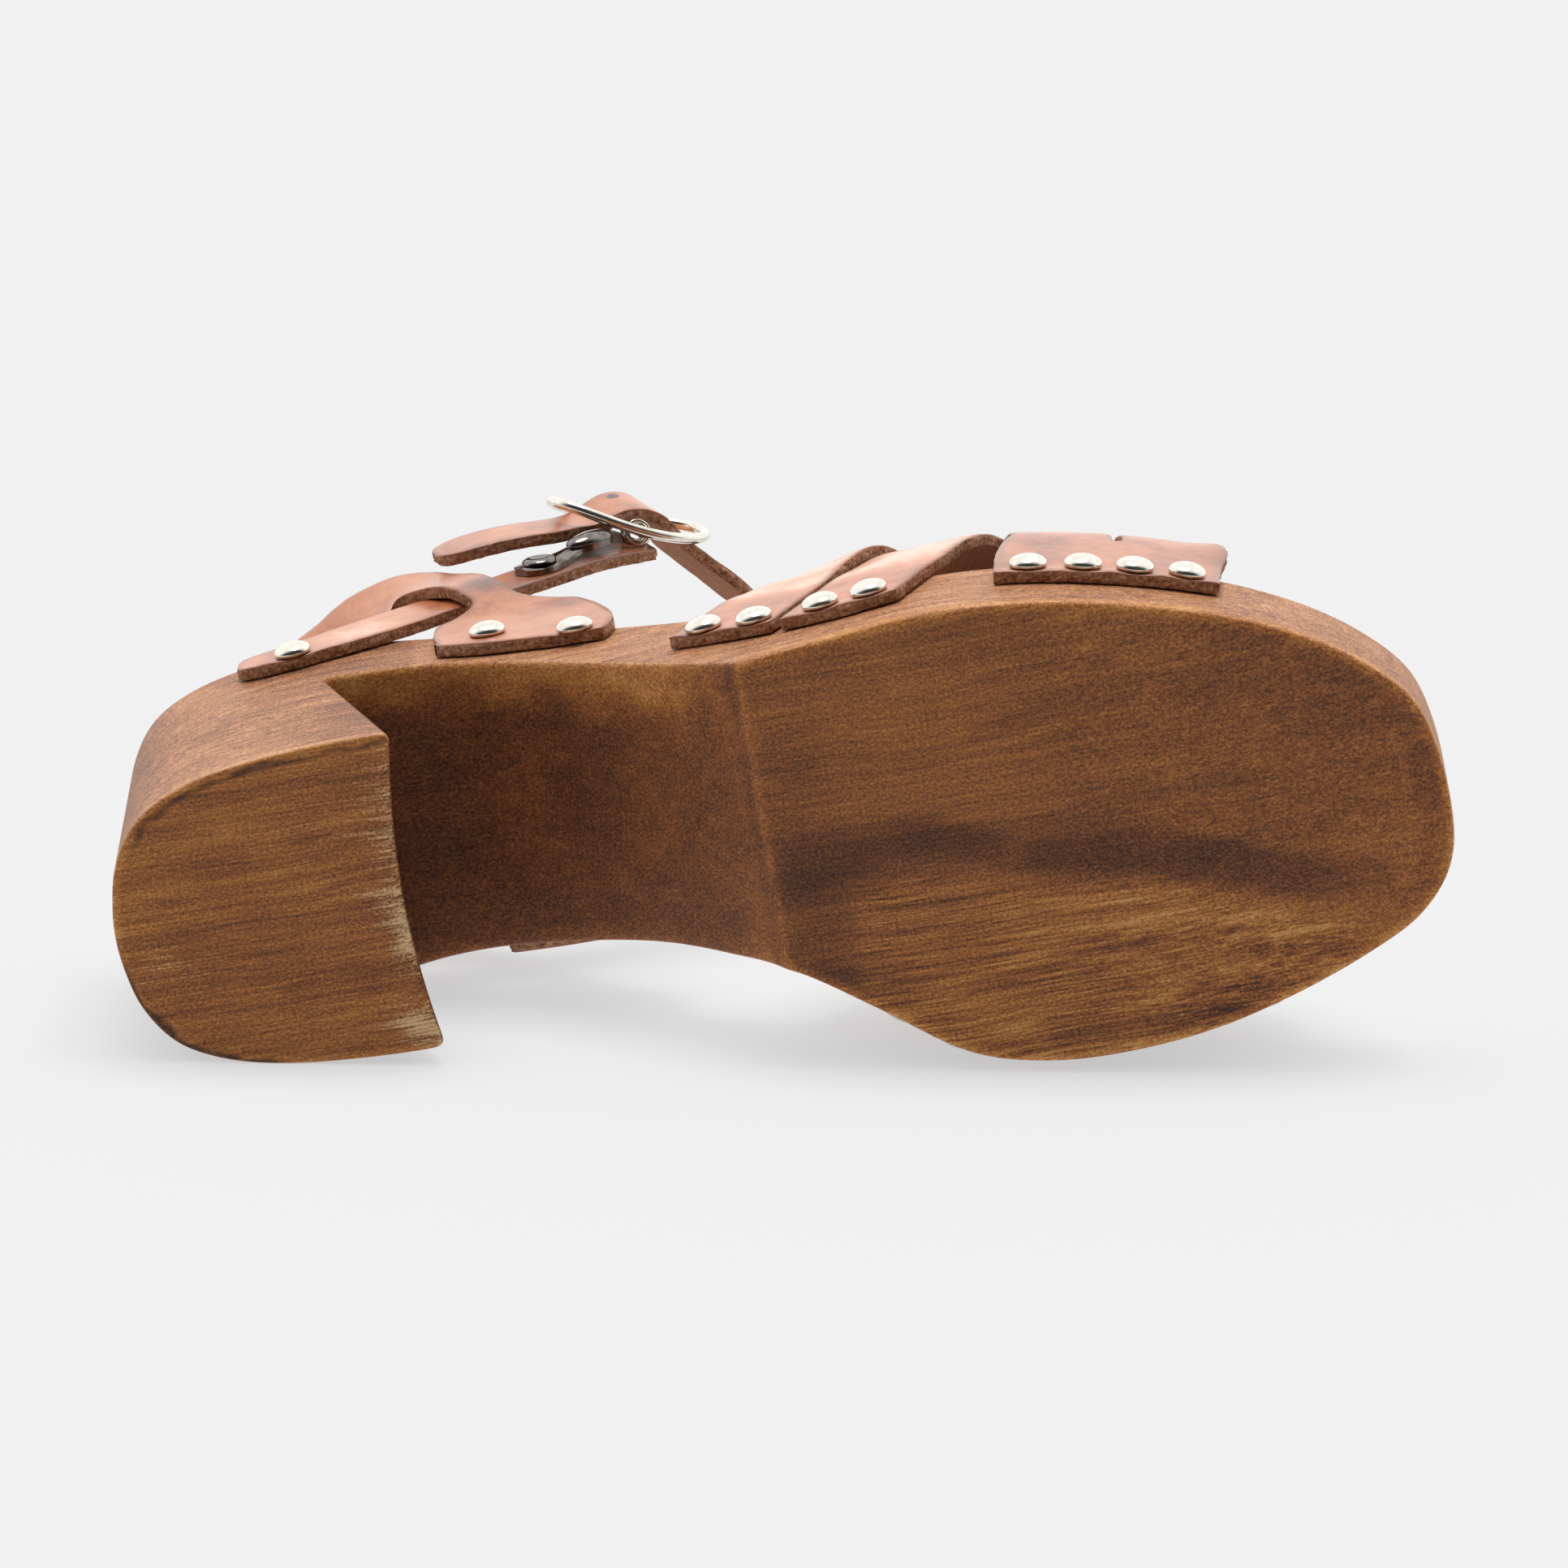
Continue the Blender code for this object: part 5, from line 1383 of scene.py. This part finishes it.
def build_strap(name, path, seed, spacing=0.7, burnish_and_painted_light=None, raise_by=None, blunt=(0.6, 0.6)):
    """Flat strap along a path of x, y, z and half width."""
    pts = np.array(catmull(path, 24))
    run = np.concatenate(([0.0], np.cumsum(np.linalg.norm(np.diff(pts[:, :3], axis=0), axis=1))))
    count = int(run[-1] / spacing) + 1
    s = np.linspace(0, run[-1], count)
    c = np.column_stack([np.interp(s, run, pts[:, k]) for k in range(3)])
    half = np.interp(s, run, pts[:, 3])
    for d, r in ((s, blunt[0]), (run[-1] - s, blunt[1])):
        t = np.clip(d / max(r, 1e-6), 0, 1)
        half = half * (1 - 0.5 * (1 - np.sqrt(1 - (1 - t) ** 2)))
    tan = unit(np.gradient(c, axis=0))
    nrm = outward(c)
    nrm = unit(nrm - tan * np.sum(nrm * tan, axis=1, keepdims=True))
    wide = np.cross(tan, nrm)
    shares = np.array((-1.0, -0.92, -0.75, -0.5, -0.25, 0.0, 0.25, 0.5, 0.75, 0.92, 1.0))
    m = len(shares)
    p = c[:, None] + wide[:, None] * half[:, None, None] * shares[None, :, None]
    nn = np.broadcast_to(nrm[:, None], p.shape)
    inner = against_wall(p - nn * LEATHER / 2)
    if raise_by is not None:
        inner = inner + nn * raise_by(s[:, None] / run[-1], shares[None, :], c)[..., None]
    inner = inner + nn * (0.09 * noise3(p, 9.0, seed + 2))[..., None]
    outer = inner + nn * LEATHER
    top, bottom = outer.reshape(-1, 3), inner.reshape(-1, 3)
    top = top - nn.reshape(-1, 3) * pressed(top)[:, None]
    rim = np.exp(-(((1 - np.abs(shares))[None, :] * half[:, None]) / 0.8) ** 2)
    rim = np.maximum(rim, np.exp(-(np.minimum(s, run[-1] - s)[:, None] / 0.8) ** 2) * np.ones((1, m)))
    ids = np.arange(count * m).reshape(count, m)
    quads = np.column_stack((ids[:-1, :-1].ravel(), ids[1:, :-1].ravel(), ids[1:, 1:].ravel(), ids[:-1, 1:].ravel()))
    a, b, cc = top[quads[:, 0]], top[quads[:, 1]], top[quads[:, 2]]
    if np.median(np.sum(np.cross(b - a, cc - a) * (top - bottom)[quads[:, 0]], axis=1)) < 0:
        quads = quads[:, ::-1]
    shade = None if burnish_and_painted_light is None else burnish_and_painted_light(s[:, None] / run[-1] + 0 * shares[None, :], top.reshape(count, m, 3)).ravel()
    return thick_sheet(name, top, bottom, quads, rim=0.8 * rim.ravel(), burnish_and_painted_light=shade, seed=seed)


def buckle_frame():
    ax, ay, az = BUCKLE_ALONG
    along = unit(np.array((ax, -ay, az)))
    out = unit(np.cross(along, (0.0, 0.0, 1.0)))
    up = np.cross(out, along)
    lean = radians(RING_LEAN)
    out, up = out * cos(lean) + up * sin(lean), up * cos(lean) - out * sin(lean)
    x, lateral, z = BUCKLE_CENTRE
    return np.array((x, -lateral, z)), along, out, up


def strap_hole():
    """Middle of the punched hole that shows beside the ring."""
    centre, along, out, up = buckle_frame()
    return centre - along * 2.6 + out * (0.7 + LEATHER / 2) + up * 3.0


def ring_frame():
    centre, along, out, up = buckle_frame()
    centre = centre - out * RING_SINK
    tilt = radians(RING_TILT)
    out, up = out * cos(tilt) + up * sin(tilt), up * cos(tilt) - out * sin(tilt)
    return centre, unit(along - out * RING_TURN), unit(out + along * RING_TURN), up


def build_heel_straps():
    lateral = [(x, -o, z, h) for x, o, z, h in BACK_STRAP]
    medial = []
    for x, o, z, h in BACK_STRAP[1:]:
        x += MEDIAL_TAB_SHIFT * float(step(46.0, 70.0, x))
        medial.append((x, float(fit_side(x, o, z)), z, h))

    def bridge(share, across, c):
        """The neck bows over the strap that passes under it."""
        x = c[:, 0][:, None]
        z = c[:, 2][:, None]
        return 0.9 * np.exp(-((z - 79.0) / 8.5) ** 2) * (x > 50) + 0 * across

    def bridge_burnish_and_shade(share, p):
        # darker on the far side of the neck's fold, partly burnish and partly painted shade; lighter along the back
        # strap from x 14 to 64
        x = p[..., 0]
        fold_burnish_and_shade = 0.45 * np.exp(-((p[..., 2] - 77.5) / 5.0) ** 2) * (x > 50) * (0.15 + 0.85 * step(64.0, 70.0, x))
        return fold_burnish_and_shade - 0.32 * step(14.0, 30.0, x) * (1 - step(56.0, 64.0, x))

    back = build_strap("back_strap", lateral[::-1] + medial, 7, raise_by=bridge, burnish_and_painted_light=bridge_burnish_and_shade)

    def hook_burnish_and_shade(share, p):
        # darker round the hook plate and ring, partly burnt leather and partly painted shade; lighter from x 36 to 64
        x = p[..., 0]
        return (0.38 * step(66.0, 78.0, x) * (1 - step(92.0, 104.0, x)) + 0.06 * step(52, 62, x)
                - 0.32 * step(36.0, 46.0, x) * (1 - step(56.0, 64.0, x)))

    hook = build_strap("hook_strap", [(x, -o, z, h) for x, o, z, h in HOOK_STRAP], 13, burnish_and_painted_light=hook_burnish_and_shade, blunt=(2.5, 0.8))
    centre, along, out, up = buckle_frame()
    path = [(x, float(fit_side(x, y, z)) if y > 20 else y, z, h) for x, y, z, h in ANKLE_STRAP]
    for a, o, u, h in BUCKLE_RUN:
        p = centre + along * a + out * o + up * u
        path.append((p[0], p[1], p[2], h))
    ankle = build_strap("ankle_strap", path, 19, blunt=(2.5, 3.5))
    return [back, hook, ankle]


# ------------------------------------------------------------------ metal
def lathe(name, centre, normal, profile, material, sides=40, stretch=None):
    """Turned head about its normal: radius and height along a profile, closed at both ends."""
    nrm = unit(np.array(normal, float))
    u = unit(np.cross(nrm, (0.0, 0.0, 1.0)))
    v = np.cross(nrm, u)
    centre = np.array(centre, float)
    verts, faces = [], []
    t = np.linspace(0, 2 * pi, sides, endpoint=False)
    for r, h in profile:
        verts.extend(centre + nrm * h + (u * cos(k) + v * sin(k)) * r for k in t)
    last = len(profile) - 1
    verts.append(centre + nrm * profile[0][1])
    verts.append(centre + nrm * profile[-1][1])
    low, high = len(verts) - 2, len(verts) - 1
    for s in range(sides):
        q = (s + 1) % sides
        faces.append((low, q, s))
        for k in range(last):
            a = k * sides
            faces.append((a + s, a + q, a + sides + q, a + sides + s))
        a = last * sides
        faces.append((a + s, a + q, high))
    verts = np.array(verts)
    for way, factor in stretch or ():
        verts = verts + way * ((verts - centre) @ way)[:, None] * (factor - 1)
    obj = make_piece(name, verts, faces, [material], sharp=0.9)
    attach(obj, "root")
    return obj


def build_studs():
    for side, word in ((-1, "lateral"), (1, "medial")):
        for k, (centre, normal) in enumerate(STUD_SPOTS[side], 1):
            profile = [(STUD_RADIUS * 0.90, -0.55), (STUD_RADIUS * 0.97, -0.30), (STUD_RADIUS, 0.0)]
            for j in range(19):
                a = (pi / 2) * j / 19
                profile.append((STUD_RADIUS * cos(a), 0.10 + (STUD_RISE - 0.10) * sin(a) ** 1.12))
            profile.append((0.05, STUD_RISE))
            obj = lathe(f"nail_{word}_{k:02d}", centre, normal, profile, NICKEL)
            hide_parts(f"stud_{word}_{k:02d}")


def tube(points, frames, radius, sides, closed):
    verts, faces = [], []
    n = len(points)
    radius = np.broadcast_to(np.asarray(radius, float), (n,))
    for p, (u, v), r in zip(points, frames, radius):
        for s in range(sides):
            t = 2 * pi * s / sides
            verts.append(p + (u * cos(t) + v * sin(t)) * r)
    for i in range(n if closed else n - 1):
        a, b = i * sides, ((i + 1) % n) * sides
        for s in range(sides):
            q = (s + 1) % sides
            faces.append((a + s, a + q, b + q, b + s))
    if not closed:
        faces.append(tuple(range(sides))[::-1])
        faces.append(tuple((n - 1) * sides + s for s in range(sides)))
    return verts, faces


def wire_frames(points, guide, closed):
    pts = np.array(points)
    if closed:
        tan = unit(np.roll(pts, -1, axis=0) - np.roll(pts, 1, axis=0))
    else:
        tan = unit(np.gradient(pts, axis=0))
    u = unit(guide - tan * (tan @ guide)[:, None])
    return list(zip(u, np.cross(tan, u)))


def build_buckle():
    centre, along, out, up = ring_frame()
    a, b = RING_LENGTH / 2, RING_HEIGHT / 2

    def at(t):
        p = (abs(cos(t)) ** 0.9 * (1 if cos(t) >= 0 else -1), abs(sin(t)) ** 0.9 * (1 if sin(t) >= 0 else -1))
        twist = radians(RING_TWIST * p[0])
        rise = up * cos(twist) + out * sin(twist)
        return centre + along * a * p[0] + rise * b * p[1] + out * RING_BOW * (p[0] ** 2)

    raw = [at(2 * pi * k / 72) for k in range(72)]
    pts = catmull(raw, 2, closed=True)
    verts, faces = tube(pts, wire_frames(pts, out, True), RING_WIRE, 20, True)
    middle = centre - out * BAR_SET_BACK
    bar = [middle + up * t for t in np.linspace(-(b - 0.1), b - 0.1, 12)]
    more, extra = tube(bar, wire_frames(bar, out, False), RING_WIRE * 0.9, 16, False)
    faces = list(faces) + [tuple(i + len(verts) for i in f) for f in extra]
    obj = make_piece("ring_buckle", np.array(verts + more), faces, [NICKEL], sharp=0.9)
    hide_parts("buckle_ring")
    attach(obj, "root")


def hook_frame():
    path = [(x, -o, z) for x, o, z, h in HOOK_STRAP]
    run = catmull(path, 8)
    near = min(range(len(run)), key=lambda k: abs(run[k][0] - HOOK_X))
    t = unit(run[near + 1] - run[near - 1])
    nrm = outward(np.array([run[near]]))[0]
    nrm = unit(nrm - t * float(nrm @ t))
    return np.array(run[near]) + nrm * (LEATHER / 2 + GAP), t, nrm, np.cross(t, nrm)


def build_hook():
    origin, t, nrm, wide = hook_frame()
    rows = catmull(HOOK_PLATE, 8)
    shares = np.linspace(-1, 1, 13)
    verts, faces = [], []
    m = len(shares)
    for s, h, lift in rows:
        for k in shares:
            dish = 0.35 * (1 - k * k)
            verts.append(origin + t * s + wide * h * k + nrm * (lift + HOOK_SHEET * 0.75 + dish))
    n = len(verts)
    for s, h, lift in rows:
        for k in shares:
            verts.append(origin + t * s + wide * h * k + nrm * (lift - 0.25))
    for i in range(len(rows) - 1):
        for j in range(m - 1):
            a = i * m + j
            faces.append((a, a + m, a + m + 1, a + 1))
            faces.append((n + a, n + a + 1, n + a + m + 1, n + a + m))
        for j in (0, m - 1):
            a = i * m + j
            faces.append((a, a + m, n + a + m, n + a) if j else (n + a, n + a + m, a + m, a))
    for i in (0, len(rows) - 1):
        for j in range(m - 1):
            a = i * m + j
            faces.append((n + a, n + a + 1, a + 1, a) if i else (a, a + 1, n + a + 1, n + a))
    plate = make_piece("hook_plate_shell", np.array(verts), faces, [DARK], sharp=0.9)
    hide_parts("hook_plate")
    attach(plate, "root")
    profile = [(2.4, -0.2), (2.9, 0.0), (3.2, 0.25), (3.15, 0.5), (2.9, 0.75), (2.4, 0.95), (1.9, 1.02), (1.5, 0.86),
               (0.9, 0.74), (0.05, 0.72)]
    rivet = lathe("hook_rivet_head", origin + nrm * (HOOK_SHEET + 0.05), nrm, profile, DARK)
    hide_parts("hook_rivet")
    profile = [(3.3, -0.6), (3.6, -0.2), (3.6, 0.1)]
    profile += [(3.6 * cos(a), 0.1 + 1.7 * sin(a)) for a in np.linspace(0.12, 1.5, 12)] + [(0.05, 1.8)]
    boss = lathe("hook_boss", origin + t * 12.6 + nrm * (HOOK_SHEET + 0.9), nrm, profile, DARK,
                 stretch=((t, 1.45), (wide, 0.80)))
    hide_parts("hook_plate")
    # wire eye that takes the ring's bar
    centre, along, out, up = ring_frame()
    for k, (rise, turn) in enumerate(((-4.4, 0.0), (-6.6, 0.35)), 1):
        middle = centre - out * (BAR_SET_BACK + 0.2) + up * rise - along * 0.4
        pts = [middle + (along * cos(a + turn) + out * sin(a + turn)) * 2.1 + up * 0.5 * sin(a) for a in
               np.linspace(0, 2 * pi, 40, endpoint=False)]
        verts, faces = tube(pts, wire_frames(pts, up, True), 0.55, 12, True)
        eye = make_piece(f"hook_wire_{k}", np.array(verts), faces, [NICKEL])
        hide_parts("hook_plate")
        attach(eye, "root")


# ------------------------------------------------------------------ floor, light, camera
def build_stage():
    bm = bmesh.new()
    bmesh.ops.create_grid(bm, x_segments=8, y_segments=8, size=5.0)
    mesh = bpy.data.meshes.new("floor")
    bm.to_mesh(mesh)
    bm.free()
    g = Graph("pale_floor")
    # pale paper, with a tight shade where the shoe is close to it
    near = g.node("ShaderNodeAmbientOcclusion", samples=2)
    near.inputs["Distance"].default_value = 0.024
    glow = g.math('MULTIPLY_ADD', near.outputs["AO"], 0.25, 0.534)
    mesh.materials.append(g.finish(Base_Color=(0.07, 0.07, 0.07), Roughness=1.0, Specular_IOR_Level=0.0,
                                   Emission_Color=(1.0, 1.0, 1.0), Emission_Strength=glow))
    floor = bpy.data.objects.new("floor", mesh)
    bpy.context.scene.collection.objects.link(floor)

    scene = bpy.context.scene
    scene.view_settings.view_transform = 'Standard'
    scene.view_settings.look = 'None'
    world_light = bpy.data.worlds.new("studio")
    scene.world = world_light
    world_light.use_nodes = True
    tree = world_light.node_tree
    # bright behind and above, dark towards the viewer
    way = tree.nodes.new("ShaderNodeTexCoord")
    part = tree.nodes.new("ShaderNodeSeparateXYZ")
    tree.links.new(way.outputs["Generated"], part.inputs[0])
    ramp = tree.nodes.new("ShaderNodeMapRange")
    ramp.interpolation_type = 'SMOOTHSTEP'
    for key, value in (("From Min", -0.50), ("From Max", 0.15), ("To Min", 0.05), ("To Max", 1.25)):
        ramp.inputs[key].default_value = value
    tree.links.new(part.outputs["Y"], ramp.inputs["Value"])
    back = tree.nodes["Background"]
    back.inputs["Color"].default_value = (1.0, 1.0, 1.0, 1.0)
    tree.links.new(ramp.outputs["Result"], back.inputs["Strength"])

    sun = bpy.data.lights.new("overhead", 'SUN')
    sun.energy = 1.9
    sun.angle = radians(28)
    lamp = bpy.data.objects.new("overhead", sun)
    lamp.rotation_euler = (radians(-6), radians(-5), 0)
    scene.collection.objects.link(lamp)


def build_camera():
    theta, rho = radians(15.0), radians(9.5)
    right = np.array((cos(rho), sin(rho), 0.0))
    up = np.array((sin(rho) * cos(theta), -cos(rho) * cos(theta), sin(theta)))
    back = np.array((sin(rho) * sin(theta), -cos(rho) * sin(theta), -cos(theta)))
    spot = world(np.array((121.2, -8.5, 0.0)) + 2300.0 * back)
    axes = [TURN @ a for a in (right, up, back)]
    cam = bpy.data.cameras.new("camera")
    cam.lens = 300.0
    cam.sensor_width = 36.0
    cam.clip_end = 50.0
    obj = bpy.data.objects.new("camera", cam)
    m = Matrix.Identity(4)
    for k in range(3):
        for r in range(3):
            m[r][k] = axes[k][r]
        m[k][3] = spot[k]
    obj.matrix_world = m
    bpy.context.scene.collection.objects.link(obj)
    bpy.context.scene.camera = obj


TAN = leather_material()
build_camera()
build_stage()
build_sole()
build_insole()
forks = [build_vamp(0), build_vamp(1)]
for obj in forks:
    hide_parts("vamp_straps")
for obj in build_heel_straps():
    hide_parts("heel_straps")
build_studs()
build_buckle()
build_hook()
